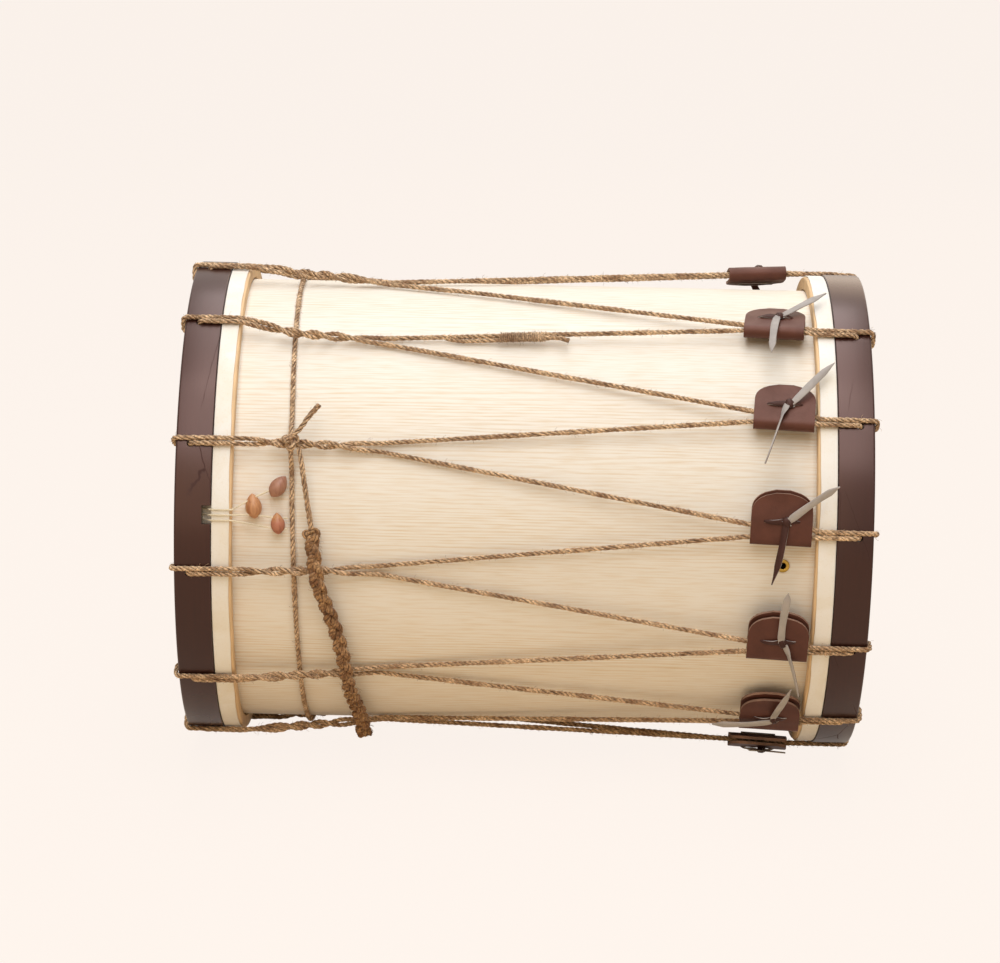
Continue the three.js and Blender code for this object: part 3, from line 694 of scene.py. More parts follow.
@functools.cache
def laid_rope_tree():
    """Three twisted strands along each path, with loose fibres. It is made once."""
    tree, add, given = new_tree(
        "laid_rope", Path="Geometry", Radius="Float", Lay="Float", Step="Float", Fuzz="Float",
        Fibre="Float", Seed="Int", Material="Material",
    )
    path = add("ResampleCurve", {"Curve": given["Path"], "Length": given["Step"]}, mode="LENGTH")
    along, normal, over, even = path_frame(add, given["Lay"])
    # The lay is tighter in some places than in others
    slack = add("TexNoise", {"Scale": 1 / (16 * MM), "Detail": 1})
    turn = add("Math", even, add("Math MULTIPLY", slack, 5))
    centre = add("Math MULTIPLY", given["Radius"], 0.5)
    thick = add("Math MULTIPLY", given["Radius"], 0.53)
    strands = []
    for strand in range(STRANDS):
        phase = add("Math", turn, strand * math.tau / STRANDS)
        first = swung(add, phase, "COSINE", centre, normal)
        offset = add("VectorMath", first, swung(add, phase, "SINE", centre, over))
        away = add("StoreNamedAttribute FLOAT_VECTOR", {
            "Geometry": path, "Name": "away", "Value": add("VectorMath NORMALIZE", offset)})
        strands.append(add("SetPosition", {"Geometry": away, "Offset": offset}))
    joined = add("JoinGeometry", strands)
    laid = add("StoreNamedAttribute FLOAT", {"Geometry": joined, "Name": "along", "Value": along})
    ring = add("CurvePrimitiveCircle", {"Resolution": 6, "Radius": thick})
    unit = add("VectorMath NORMALIZE", add("InputPosition"))
    section = add("StoreNamedAttribute FLOAT_VECTOR", {
        "Geometry": ring, "Name": "section", "Value": unit})
    # Hand-laid strands swell and thin every couple of centimetres
    swell = add("TexNoise", {"Scale": 1 / (22 * MM), "Detail": 1})
    tubes = add("CurveToMesh", {
        "Curve": laid, "Profile Curve": section,
        "Scale": add("MapRange", swell, 0.3, 0.7, 0.82, 1.2), "Fill Caps": True})
    # The crown of a strand faces away from the rope's middle, and its grooves face in
    away = add("InputNamedAttribute FLOAT_VECTOR", {"Name": "away"})
    facing = add("VectorMath DOT_PRODUCT", add("InputNormal"), away, out="Value")
    skin = add("StoreNamedAttribute FLOAT", {"Geometry": tubes, "Name": "crown", "Value": facing})

    straight = add("CombineXYZ", {"Z": given["Fibre"]})
    slant = add("CombineXYZ", {"X": given["Fibre"], "Z": given["Fibre"]})
    hair = add("CurveQuadraticBezier", {
        "Resolution": 3, "Start": (0, 0, 0),
        "Middle": add("VectorMath SCALE", {0: straight, "Scale": 0.6}),
        "End": add("VectorMath SCALE", {0: slant, "Scale": 0.7})})
    # A fibre is drawn about twice as thick as jute is, so that it shows
    hair_ring = add("CurvePrimitiveCircle", {"Resolution": 3, "Radius": 0.075 * MM})
    hair_mesh = add("CurveToMesh", {"Curve": hair, "Profile Curve": hair_ring, "Fill Caps": True})
    roots = add("DistributePointsOnFaces", {
        "Mesh": skin, "Density": given["Fuzz"], "Seed": given["Seed"]}, out=None)
    stray = add("RandomValue FLOAT_VECTOR", {0: (-1, -1, -1), 1: (1, 1, 1), "Seed": given["Seed"]})
    lean = add("VectorMath", roots["Normal"], stray)
    hairs = add("InstanceOnPoints", {
        "Points": roots["Points"], "Instance": hair_mesh,
        "Rotation": add("AlignRotationToVector", {"Vector": lean}, axis="Z"),
        "Scale": add("RandomValue FLOAT", {2: 0.35, 3: 1.25, "Seed": 7}, out=1)})
    soft = add("SetShadeSmooth", add("JoinGeometry", [hairs, skin]))
    end_tree(add, soft, given["Material"])
    return tree


@functools.cache
def plait_tree():
    """Three ropes plaited along a path, flat against the shell. It is made once."""
    tree, add, given = new_tree(
        "plait", Path="Geometry", Width="Float", Turn="Float", Radius="Float", Fuzz="Float",
        Seed="Int", Material="Material",
    )
    path = add("ResampleCurve", {"Curve": given["Path"], "Length": 1.5 * MM}, mode="LENGTH")
    from_axis = add("VectorMath SUBTRACT", add("InputPosition"), (0, 0, AXIS_Z))
    flat = add("VectorMath MULTIPLY", from_axis, (0, 1, 1))
    lying = add("SetCurveNormal", {"Curve": path, "Normal": flat}, mode="FREE")
    _, normal, across, turn = path_frame(add, given["Turn"])
    half = add("Math MULTIPLY", given["Width"], 0.5)
    reach = add("Math SUBTRACT", half, given["Radius"])
    rise = add("Math MULTIPLY", given["Radius"], 0.75)
    strands = []
    for strand in range(STRANDS):
        phase = add("Math", turn, strand * math.tau / STRANDS)
        twice = add("Math MULTIPLY", phase, 2)
        first = swung(add, phase, "SINE", reach, across)
        offset = add("VectorMath", first, swung(add, twice, "SINE", rise, normal))
        strands.append(add("SetPosition", {"Geometry": lying, "Offset": offset}))
    shared = {label: given[label] for label in ("Radius", "Fuzz", "Seed", "Material")}
    ropes = add("GeometryNodeGroup", {
        "Path": add("JoinGeometry", strands), "Lay": 11 * MM, "Step": 1.1 * MM,
        "Fibre": sizes().fibre_length, **shared}, node_tree=laid_rope_tree())
    end_tree(add, ropes, given["Material"])
    return tree


def roped(name, paths, tree=laid_rope_tree, **inputs):
    """The paths as a plain mesh of rope, with the tree's inputs by name."""
    obj = curve_object(name + "_path", paths)
    modifier = obj.modifiers.new("rope", "NODES")
    modifier.node_group = tree()
    for item in modifier.node_group.interface.items_tree:
        label = item.name.lower()
        if item.in_out == "INPUT" and label in inputs:
            modifier[item.identifier] = inputs[label]
    return baked(obj, name)


def lacing_rope(name, paths, seed, radius=LACE_RADIUS, hair=1.0, jute="laid_jute"):
    return roped(
        name, paths, radius=radius, lay=sizes().rope_lay * radius / ROPE_RADIUS,
        step=sizes().rope_step, fuzz=sizes().rope_fuzz, fibre=hair * sizes().fibre_length,
        seed=seed, material=finish(jute),
    )


# Materials


def emptied(holder):
    """Empties a material or a world, and gives the function that adds nodes to it."""
    holder.use_nodes = True
    holder.node_tree.nodes.clear()
    return functools.partial(add_node, holder.node_tree)


@functools.cache
def finish(name):
    """A material by the name of its finish, made once."""
    material = bpy.data.materials.new(name)
    add = emptied(material)
    build, *given = FINISHES[name]
    shader = add("BsdfPrincipled", build(add, *given))
    add("OutputMaterial", {"Surface": shader}, out=None)
    return material


def round_coordinates(add):
    """Object coordinates, along the drum and round it, in metres, and as they are."""
    where = add("TexCoord", out="Object")
    x, y, z = add("SeparateXYZ", where, out=None)
    high = add("Math SUBTRACT", z, AXIS_Z)
    angle = add("Math ARCTAN2", high, y)
    return x, add("Math MULTIPLY", angle, SHELL_RADIUS), where


def squeezed(add, along, along_share, arc, arc_share):
    """Coordinates on the drum's side, each times its share, to draw a pattern out."""
    near = add("Math MULTIPLY", along, along_share)
    far = add("Math MULTIPLY", arc, arc_share)
    return add("CombineXYZ", near, far)


def bare_pine(add):
    # Pine veneer, planed: pale early wood with thin darker late-wood lines along the drum
    along, arc, _ = round_coordinates(add)
    flat = squeezed(add, along, 0.06, arc, 1)
    drift = add("TexNoise", {"Vector": flat, "Scale": 1 / (38 * MM), "Detail": 2})
    wander = add("Math MULTIPLY", drift, 26 * MM)
    ring = squeezed(add, along, 0.06, add("Math", arc, wander), 1)
    # Late-wood lines about 2.6 mm apart
    lines = add("TexWave", {
        "Vector": ring, "Scale": 0.314 / (2.6 * MM), "Distortion": 2.6, "Detail": 2,
        "Detail Scale": 1.4}, out="Fac", bands_direction="Y", wave_profile="SAW")
    late = add("MapRange", lines, 0.5, 1, 0, 0.58)
    broad = add("TexNoise", {"Vector": flat, "Scale": 1 / (60 * MM), "Detail": 1})
    patch = add("MapRange", broad, 0.35, 0.7, 0.15, 1)
    shown = add("Math MULTIPLY", late, patch)
    fine = add("TexNoise", {"Vector": flat, "Scale": 1 / (1.3 * MM), "Detail": 2})
    streak = add("MapRange", fine, 0.35, 0.72, -0.12, 0.3)
    factor = add("Math", shown, streak, use_clamp=True)
    return {
        "Base Color": add("Mix RGBA", {
            0: factor, MIX_A: colour("pine_pale"), MIX_B: colour("pine_dark")}, out=MIXED),
        "Roughness": add("MapRange", fine, 0.3, 0.7, 0.46, 0.6),
        "Normal": add("Bump", {"Strength": 0.25, "Distance": 0.08 * MM, "Height": fine}),
        "IOR": 1.47, "Specular IOR Level": 0.35,
    }


def stained_ash(add):
    # Steam-bent ash, stained dark and rubbed to a satin: long faint streaks round the hoop
    along, arc, where = round_coordinates(add)
    streak = add("TexNoise", {
        "Vector": squeezed(add, along, 1, arc, 0.035), "Scale": 1 / (1.6 * MM), "Detail": 4,
        "Roughness": 0.6})
    cloud = add("TexNoise", {"Vector": where, "Scale": 1 / (70 * MM), "Detail": 2})
    tone = add("MapRange", add("Math", streak, cloud), 0.75, 1.5, 0, 0.8)
    # Open pores: short dark lines along the grain
    grain = add("TexNoise", {
        "Vector": squeezed(add, along, 1, arc, 0.09), "Scale": 1 / (0.9 * MM), "Detail": 2})
    pores = add("MapRange", grain, 0.64, 0.74, 0, 0.85)
    factor = add("Math MAXIMUM", tone, pores)
    # A few hairline cracks in the polish, slanting along the hoop
    waver = add("TexNoise", {"Vector": where, "Scale": 1 / (7 * MM)}, out="Color")
    shift = add("VectorMath SCALE", {0: waver, "Scale": 1.2 * MM})
    bent = add("VectorMath", squeezed(add, along, 1, arc, 0.3), shift)
    gap = add("TexVoronoi", {
        "Vector": bent, "Scale": 1 / (40 * MM)}, out="Distance", feature="DISTANCE_TO_EDGE")
    thin = add("MapRange", gap, 0.002, 0.006, 1, 0)
    some = add("MapRange", cloud, 0.52, 0.58, 0, 0.4)
    crack = add("Math MULTIPLY", thin, some)
    rough = add("MapRange", cloud, 0.3, 0.7, 0.26, 0.34)
    return {
        "Base Color": add("Mix RGBA", {
            0: factor, MIX_A: colour("hoop_stain"), MIX_B: colour("hoop_streak")}, out=MIXED),
        "Roughness": add("Math", rough, crack),
        "Normal": add("Bump", {"Strength": 0.3, "Distance": 0.06 * MM, "Height": streak}),
        "IOR": 1.5, "Specular IOR Level": 0.65, "Specular Tint": (1, 0.68, 0.6, 1),
    }


def bare_ash(add):
    # Thin bent ash strip, left bare: warm tan with fine lines round the hoop
    along, arc, _ = round_coordinates(add)
    streak = add("TexNoise", {
        "Vector": squeezed(add, along, 1, arc, 0.04), "Scale": 1 / (0.9 * MM), "Detail": 3})
    factor = add("MapRange", streak, 0.4, 0.8, 0, 0.8)
    return {
        "Base Color": add("Mix RGBA", {
            0: factor, MIX_A: colour("flesh_wood"), MIX_B: colour("flesh_wood", 0.62)}, out=MIXED),
        "Normal": add("Bump", {"Strength": 0.3, "Distance": 0.08 * MM, "Height": streak}),
        "Roughness": 0.62,
    }


def calfskin(add):
    # Scraped calfskin, dried on its hoop: ivory with soft clouds, faint pores and a dull shine
    where = add("TexCoord", out="Object")
    cloud = add("TexNoise", {
        "Vector": where, "Scale": 1 / (45 * MM), "Detail": 4, "Roughness": 0.55,
        "Distortion": 0.6})
    pores = add("TexNoise", {"Vector": where, "Scale": 1 / (1.4 * MM), "Detail": 2})
    clouded = add("MapRange", cloud, 0.42, 0.72, 0, 0.55)
    speck = add("MapRange", pores, 0.55, 0.8, 0, 0.25)
    factor = add("Math", clouded, speck, use_clamp=True)
    return {
        "Base Color": add("Mix RGBA", {
            0: factor, MIX_A: colour("skin_pale"), MIX_B: colour("skin_cloud")}, out=MIXED),
        "Normal": add("Bump", {"Strength": 0.25, "Distance": 0.1 * MM, "Height": pores}),
        "Roughness": 0.5, "IOR": 1.45,
    }


def spun_jute(add, light, dark):
    """Jute by its two tones, with its fibres along each strand and the grooves between strands."""
    section = add("Attribute", out="Vector", attribute_name="section")
    along, crown = [add("Attribute", out="Fac", attribute_name=name) for name in ("along", "crown")]
    # Bundles of fibre 0.6 mm wide and about 5 mm long
    lifted = add("Math MULTIPLY", along, 1 / (8 * MM))
    spot = add("VectorMath", section, add("CombineXYZ", {2: lifted}))
    fibre = add("TexNoise", {"Vector": spot, "Scale": 1.7, "Detail": 4, "Roughness": 0.7})
    where = add("TexCoord", out="Object")
    tone = add("TexNoise", {"Vector": where, "Scale": 1 / (9 * MM), "Detail": 2})
    less = add("Math MULTIPLY", tone, 0.6)
    factor = add("MapRange", add("Math", fibre, less), 0.64, 0.96, 0, 1)
    body = add("Mix RGBA", {0: factor, MIX_A: colour(dark), MIX_B: colour(light)}, out=MIXED)
    bare = add("MapRange", crown, -0.25, 0.55, 0, 1)
    laid = add("Mix RGBA", {0: bare, MIX_A: colour(dark, 0.42), MIX_B: body}, out=MIXED)
    # Flecks of bark and of bleached fibre, about a millimetre across
    speck = add("TexNoise", {"Vector": where, "Scale": 1 / (1.3 * MM), "Detail": 2})
    share = add("MapRange", speck, 0.36, 0.64, 0.5, 1.34)
    flecked = add("VectorMath SCALE", {0: laid, "Scale": share})
    # Loose fibres carry no section mark, and are the palest
    on_strand = add("VectorMath LENGTH", section, out="Value")
    return {
        "Base Color": add("Mix RGBA", {
            0: on_strand, MIX_A: colour(light), MIX_B: flecked}, out=MIXED),
        "Normal": add("Bump", {"Strength": 0.8, "Distance": 0.3 * MM, "Height": fibre}),
        "Roughness": 0.88, "Specular IOR Level": 0.2, "Sheen Weight": 0.12,
        "Sheen Roughness": 0.6,
    }


def grained(add, tone, deeper, cell, shine, depth, extra=()):
    """Leather by its tone and deeper share, and its pebbles' size, roughness and depth."""
    where = add("TexCoord", out="Object")
    pebble = add("TexVoronoi", {
        "Vector": where, "Scale": 1 / cell}, out="Distance", feature="SMOOTH_F1")
    cloud = add("TexNoise", {
        "Vector": where, "Scale": 1 / (14 * MM), "Detail": 4, "Roughness": 0.6})
    factor = add("MapRange", cloud, 0.35, 0.68, 0, 1)
    return {
        "Base Color": add("Mix RGBA", {
            0: factor, MIX_A: colour(tone), MIX_B: colour(tone, deeper)}, out=MIXED),
        "Roughness": add("MapRange", cloud, 0.3, 0.7, shine - 0.05, shine + 0.08),
        "Normal": add("Bump", {"Strength": 0.4, "Distance": depth, "Height": pebble}),
        **dict(extra),
    }


def toggle_wood(add):
    # Small carved hardwood toggles, oiled: each its own tone, with darker streaks along its length
    tone = add("Attribute", out="Color", attribute_name="tone")
    where = add("TexCoord", out="Object")
    drawn = add("Mapping", {"Vector": where, "Scale": (1, 1, 0.2)})
    streak = add("TexNoise", {
        "Vector": drawn, "Scale": 1 / (2.2 * MM), "Detail": 3, "Distortion": 0.8})
    tint = (0.62, 0.45, 0.4, 1)
    rust = add("Mix RGBA", {0: 1, MIX_A: tone, MIX_B: tint}, out=MIXED, blend_type="MULTIPLY")
    factor = add("MapRange", streak, 0.45, 0.75, 0, 0.9)
    body = add("Mix RGBA", {0: factor, MIX_A: tone, MIX_B: rust}, out=MIXED)
    return {"Base Color": body, "Roughness": 0.46}


def pressed_brass(add):
    # Pressed brass eyelet, handled: dull gold with darker tarnish
    where = add("TexCoord", out="Object")
    tarnish = add("TexNoise", {"Vector": where, "Scale": 1 / (3 * MM), "Detail": 3})
    return {
        "Base Color": add("Mix RGBA", {
            0: tarnish, MIX_A: colour("brass"), MIX_B: colour("brass", 0.55)}, out=MIXED),
        "Roughness": add("MapRange", tarnish, 0.3, 0.7, 0.22, 0.42),
        "Metallic": 1,
    }


FINISHES = {
    "bare_pine": (bare_pine,),
    "stained_ash": (stained_ash,),
    "bare_ash": (bare_ash,),
    "calfskin": (calfskin,),
    # Three-strand laid jute: matt tan with light and dark flecks, and dark grooves between strands
    "laid_jute": (spun_jute, "jute_light", "jute_dark"),
    # Plaited jute, darkened by the hand: deeper brown than the lacing, with near-black gaps
    "plaited_jute": (spun_jute, "plait_light", "plait_dark"),
    # Vegetable-tanned cowhide, dyed brown: fine pebbles and a waxy satin
    "tug_hide": (grained, "tug_brown", 0.72, 0.9 * MM, 0.46, 0.12 * MM, {
        "Specular IOR Level": 0.45, "Specular Tint": (1, 0.68, 0.58, 1)}),
    # Cut edge of the hide: undyed fibre, rough and paler
    "tug_raw_edge": (grained, "tug_edge", 0.5, 0.5 * MM, 0.8, 0.1 * MM),
    # Flesh side of a thin thong: pale grey nap
    "thong_suede": (grained, "thong_suede", 0.74, 0.45 * MM, 0.85, 0.12 * MM, {
        "Sheen Weight": 0.1}),
    # Grain side of a thin thong: dark brown with a low shine
    "thong_grain": (grained, "thong_grain", 0.7, 0.6 * MM, 0.5, 0.08 * MM, {
        "Specular IOR Level": 0.3, "Specular Tint": (1, 0.75, 0.68, 1)}),
    # Dried gut: cream, slightly clear, with a dull shine
    "twisted_gut": (grained, "gut", 0.75, 0.8 * MM, 0.42, 0.05 * MM),
    "toggle_wood": (toggle_wood,),
    "pressed_brass": (pressed_brass,),
}


def put(obj, body, node):
    """Hands a finished piece to its body and the node it stands for."""
    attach(obj, body)
    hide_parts(node)
    return obj


# Shapes of the pieces


def strand_corners(span):
    """Corners of a span: the lower and upper strands up to the tug, then the loop past it."""
    hold = SpanFrame(span)
    start, right, end = hole_angle(span), right_angle(span), hole_angle(span - 1)
    half, spread = TUG_WIDTH / 2, TUG_SPREAD / 2
    tucked, opened = half - STRAND_TUCK, half - LOOP_TUCK

    def leave_left(sign, pair):
        angle = left_angle(pair)
        return [
            (polar(-LAP_END_X, LACE_ON_HOOP, hole_angle(pair), sign * LACE_HALF), SOFT_BEND),
            (polar(girdle_at(angle), ROPE_ON_GIRDLE, angle, sign * LACE_HALF), SOFT_BEND),
            (polar(PARTING_X, ROPE_ON_SHELL, angle, sign * PAIR_HALF), SOFT_BEND),
        ]

    def over_rim(sign, angle):
        return [
            (polar(sign * HOLE_X, LACE_IN_HOOP, angle, -LACE_HALF), ROPE_BEND),
            (polar(sign * LACE_RIM_X, LACE_IN_HOOP, angle, -LACE_HALF / 4), ROPE_BEND),
            (polar(sign * LACE_RIM_X, LACE_ON_HOOP, angle, LACE_HALF / 1.3), ROPE_BEND),
        ]

    def rest_on_shell(from_point, to_point):
        flat = off_axis(from_point)
        run = off_axis(to_point) - flat
        share = clamped(-flat.dot(run) / run.length_squared)
        near = from_point.lerp(to_point, share)
        away = off_axis(near)
        lift = ROPE_ON_SHELL + FIT - away.length
        if share == 0 or lift < FIT:
            return []
        return [(near + away.normalized() * lift, SOFT_BEND)]

    def inside(along, sign):
        share = (along + half) / TUG_WIDTH
        return hold.at(along, sign * (spread + (PAIR_HALF - spread) * share))

    low_edge, high_edge = hold.at(-half, -spread), hold.at(-half, spread)
    lower = [
        (polar(-HOLE_X, HOOP_MIDDLE - FIT / 2, start, -LACE_HALF), 0), *over_rim(-1, start),
        *leave_left(1, span), *rest_on_shell(hold.lower, low_edge),
        (low_edge, SOFT_BEND), (inside(-tucked, -1), 0),
    ]
    upper = [
        (polar(-HOLE_X, HOOP_MIDDLE + FIT / 2, end, -LACE_HALF), 0),
        (polar(-HOLE_X, LACE_ON_HOOP, end, -LACE_HALF), ROPE_BEND),
        *leave_left(-1, span - 1), *rest_on_shell(hold.upper, high_edge),
        (high_edge, SOFT_BEND), (inside(-tucked, 1), 0),
    ]
    loop = [
        (inside(-opened, -1), 0), (inside(half, -1), SOFT_BEND),
        (polar(LAP_END_X, LACE_ON_HOOP, right, -LACE_HALF), SOFT_BEND),
        (polar(HOLE_X, LACE_ON_HOOP, right, -LACE_HALF), ROPE_BEND), *over_rim(1, right),
        (polar(LAP_END_X, LACE_ON_HOOP, right, LACE_HALF), SOFT_BEND),
        (inside(half, 1), SOFT_BEND), (inside(-opened, 1), 0),
    ]
    return hold, lower, upper, loop


def splice_paths(path):
    """A second rope tucked into a strand and laid below it, and the binding over its middle."""
    tuck_x, stub_x = SPLICE_ENDS
    first = [p for p in path if p.x <= tuck_x][-1]
    last = [p for p in path if p.x >= stub_x][0]
    run = (last - first).normalized()
    below = run.cross(off_axis(first)).normalized()
    out = below.cross(run)
    apart = 1.75 * LACE_RADIUS
    tuck, slant_turns, free_from, droop = 0.15, 0.15, 0.86, 3.5 * MM

    def between(ends, share):
        x = ends[0] + (ends[1] - ends[0]) * share
        return first.lerp(last, (x - first.x) / (last.x - first.x))

    second = []
    for t in shares(40):
        turn = slant_turns * math.tau * (t - 0.8)
        reach = apart * min(t / tuck, 1) ** 0.6
        free = max(t - free_from, 0) / (1 - free_from)
        aside = (below * math.cos(turn) + out * math.sin(turn)) * reach
        second.append(between(SPLICE_ENDS, t) + aside + below * (droop * free * free))
    wide, high = apart / 2 + LACE_RADIUS + 0.4 * MM, LACE_RADIUS + 0.6 * MM
    binding = []
    for t in shares(12 * BINDING_TURNS):
        turn = BINDING_TURNS * math.tau * t
        loose = 1 + 0.06 * math.sin(0.37 * turn)
        aside = out * (high * math.cos(turn)) + below * (wide * math.sin(turn))
        binding.append(between(BINDING_ENDS, t) + below * (apart / 2) + aside * loose)
    return second, binding


def leaf_height(x):
    """How far a leaf stands from the strands' plane: it draws in above the thong."""
    start, run, pinched = 3 * MM, FLAP_TOP - 5 * MM, 1.7 * MM
    t = clamped((x - start) / run)
    return LEAF_MIDDLE - (LEAF_MIDDLE - pinched) * t * t * (3 - 2 * t)


def tug_sheet(seed):
    """A folded leaf of leather, in its tug's own frame: X up across the strands, Y out, Z right."""
    rng = random.Random(seed)
    bow = rng.uniform(-0.5, 0.5) * MM
    outer_top = FLAP_TOP - rng.uniform(1.4, 3.0) * MM
    leaf_steps, fold_steps, columns = 16, 14, 18
    crown_end, ripple_high, ripple_scale = 0.985, 0.25 * MM, 90
    points = []
    for t in shares(leaf_steps)[:-1]:
        x = outer_top + (FOLD_AT - outer_top) * t
        points.append((x, leaf_height(x), outer_top))
    for t in shares(fold_steps):
        turn = math.pi * (0.5 + t)
        x = FOLD_AT + LEAF_MIDDLE * math.cos(turn)
        points.append((x, LEAF_MIDDLE * math.sin(turn), FLAP_TOP))
    for t in shares(leaf_steps)[1:]:
        x = FOLD_AT + (FLAP_TOP - FOLD_AT) * t
        points.append((x, -leaf_height(x), FLAP_TOP))

    last = len(points) - 1
    bm = bmesh.new()
    layers = []
    for side in (1, -1):
        rows = []
        for i, (x, y, top) in enumerate(points):
            before, after = points[max(i - 1, 0)], points[min(i + 1, last)]
            run = Vector((after[0] - before[0], after[1] - before[1], 0)).normalized()
            off = Vector((run.y, -run.x, 0)) * (side * TUG_LEATHER / 2)
            rise = max(x - (top - TUG_CROWN), 0) / TUG_CROWN
            half = TUG_WIDTH / 2 * (1 - min(rise, crown_end) ** CROWN_POWER) ** (1 / CROWN_POWER)
            row = []
            for t in shares(columns):
                z = half * (2 * t - 1)
                curl = bow * math.cos(math.pi * z / TUG_WIDTH) * clamped(x / FLAP_TOP)
                spot = Vector((x * ripple_scale, z * ripple_scale, seed * 3.1 + (y > 0)))
                ripple = ripple_high * noise.noise(spot)
                row.append(bm.verts.new(Vector((x, y + curl + ripple, z)) + off))
            rows.append(row)
        layers.append(rows)
    front, back = layers
    for i in range(last):
        for k in range(columns):
            bm.faces.new((front[i][k], front[i][k + 1], front[i + 1][k + 1], front[i + 1][k]))
            bm.faces.new((back[i][k], back[i + 1][k], back[i + 1][k + 1], back[i][k + 1]))
    edges = []
    for i in range(last):
        edges += [((i, k), (i + 1, k)) for k in (0, columns)]
    for k in range(columns):
        edges += [((i, k), (i, k + 1)) for i in (0, last)]
    for (i, k), (j, m) in edges:
        wall = bm.faces.new((front[i][k], front[j][m], back[j][m], back[i][k]))
        wall.material_index = 1
    bmesh.ops.recalc_face_normals(bm, faces=bm.faces)
    return bm


def ribbon(bm, path, faces_out, widths, thick, pale_out):
    """A flat thong along a path. Material 0 is its pale side and 1 its dark side."""
    outer_sides, edge_sides = (4, 5, 6), (3, 7)
    rings = []
    last = len(path) - 1
    for i, (place, out, width) in enumerate(zip(path, faces_out, widths)):
        run = (path[min(i + 1, last)] - path[max(i - 1, 0)]).normalized()
        across = run.cross(out).normalized()
        half, rise = across * (width / 2), across.cross(run).normalized() * (thick / 2)
        flat = half - across * min(width / 2 * 0.3, thick * 0.3)
        rings.append([bm.verts.new(place + p) for p in (
            half - rise * 0.4, flat - rise, -flat - rise, -half - rise * 0.4,
            -half + rise * 0.4, -flat + rise, flat + rise, half + rise * 0.4)])
    made = bridge(bm, rings)
    for i, face in enumerate(made):
        side = i % len(rings[0])
        pale = side in edge_sides or (side in outer_sides) == pale_out
        face.material_index = 0 if pale else 1
    made += [bm.faces.new(ring) for ring in (rings[0], rings[-1])]
    bmesh.ops.recalc_face_normals(bm, faces=made)


def thong_strap(span):
    """A thong in its tug's own frame: bar, knot and two pointed tails."""
    bm = bmesh.new()
    out = Vector((0, 1, 0))
    half = 0.57 * THONG_SPAN
    seat = leaf_height(THONG_AT) + TUG_LEATHER / 2
    bar, facing, widths = [], [], []
    knot_wide, knot_high, knot_pitch, knot_strap = 3 * MM, 1.7 * MM, 0.8 * MM, 3.4 * MM
    tail_bow, tail_sway, tip_width = 1.6 * MM, 1.4 * MM, 0.5 * MM
    for share in shares(24):
        t = 2 * share - 1
        rise = seat + THONG_THICK * (1.1 * (1 - abs(t) ** 5) - 0.7 * abs(t) ** 5)
        bar.append(Vector((THONG_AT + 0.5 * MM * math.sin(3 * t), rise, t * half)))
        facing.append(Vector((0.35 * math.sin(5 * t), 1, 0)))
        widths.append(THONG_BAR * (1.25 - 0.85 * abs(t) ** 1.6))
    ribbon(bm, bar, facing, widths, THONG_THICK, False)
    behind = [
        Vector((THONG_AT, -seat - THONG_THICK * 0.6, half * (2 * t - 1))) for t in shares(12)]
    ribbon(bm, behind, [-out] * len(behind), [THONG_BAR] * len(behind), THONG_THICK, False)

    middle = Vector((THONG_AT, seat + 1.5 * MM, KNOT_SIDE))
    for lean, size in ((25, 1.0), (-55, 0.86)):
        axis = Quaternion(out, math.radians(lean)) @ Vector((0, 0, 1))
        wide = axis.cross(out).normalized()
        ring, facing = [], []
        for t in shares(18):
            turn = math.tau * t
            away = wide * (knot_wide * math.cos(turn)) + out * (knot_high * math.sin(turn))
            ring.append(middle + away * size + axis * (knot_pitch * (t - 0.5)))
            facing.append(away.normalized())
        ribbon(bm, ring, facing, [knot_strap] * len(ring), THONG_THICK * 0.8, False)

    on_floor = SpanFrame(span).out.z < -0.8
    root = Vector((THONG_AT, seat + THONG_THICK * 1.6, KNOT_SIDE))
    for number, (angle, roll, twist, pale, rise, stretch) in enumerate(TAILS[span]):
        # Each tail is cut by hand: its own point, and edges that waver a little
        point = 0.12 + 0.06 * ((3 * span + 2 * number) % 4)
        turn = math.radians(angle)
        away = Vector((math.sin(turn), 0, math.cos(turn)))
        path, facing, widths = [], [], []
        for t in shares(28):
            bow = 0 if on_floor else tail_bow * math.sin(math.pi * t) + rise * MM * t * t
            sway = away.cross(out) * (tail_sway * math.sin(2.6 * t + span))
            path.append(root + out * bow + away * (TAIL_LENGTH * stretch * t) + sway)
            spin = math.radians(roll * min(4 * t, 1) + twist * t)
            facing.append(Quaternion(away, spin) @ out)
            body = 0.62 + 0.38 * min(t / 0.12, 1)
            tip = min((1 - t) / point, 1)
            waver = 1 + 0.07 * math.sin(9 * t + 2 * span + 3 * number)
            widths.append(max(TAIL_WIDTH * body * waver * tip ** 0.8, tip_width))
        ribbon(bm, path, facing, widths, THONG_THICK * 0.85, pale)
    return bm


def knot_path():
    """A tightened overhand knot on the girdle, with its short free end."""
    angle = left_angle(KNOT_PAIR)
    x = girdle_at(angle)
    turns = overhand(
        polar(x, KNOT_RADIUS, angle), Vector((1, 0, 0)), around(angle), outward(angle), KNOT_TURN)
    # Along the drum, over the shell and round it, as shares of the knot and of its tail
    tail = [polar(x + along * KNOT_LONG, KNOT_RADIUS + rise * KNOT_HIGH, angle, far * GIRDLE_TAIL)
            for along, rise, far in ((0.5, 1 / 4, 0.28), (0.95, 1 / 3, 0.55), (1.5, 1 / 2, 0.8))]
    return turns + smooth([turns[-1], *tail])[1:]


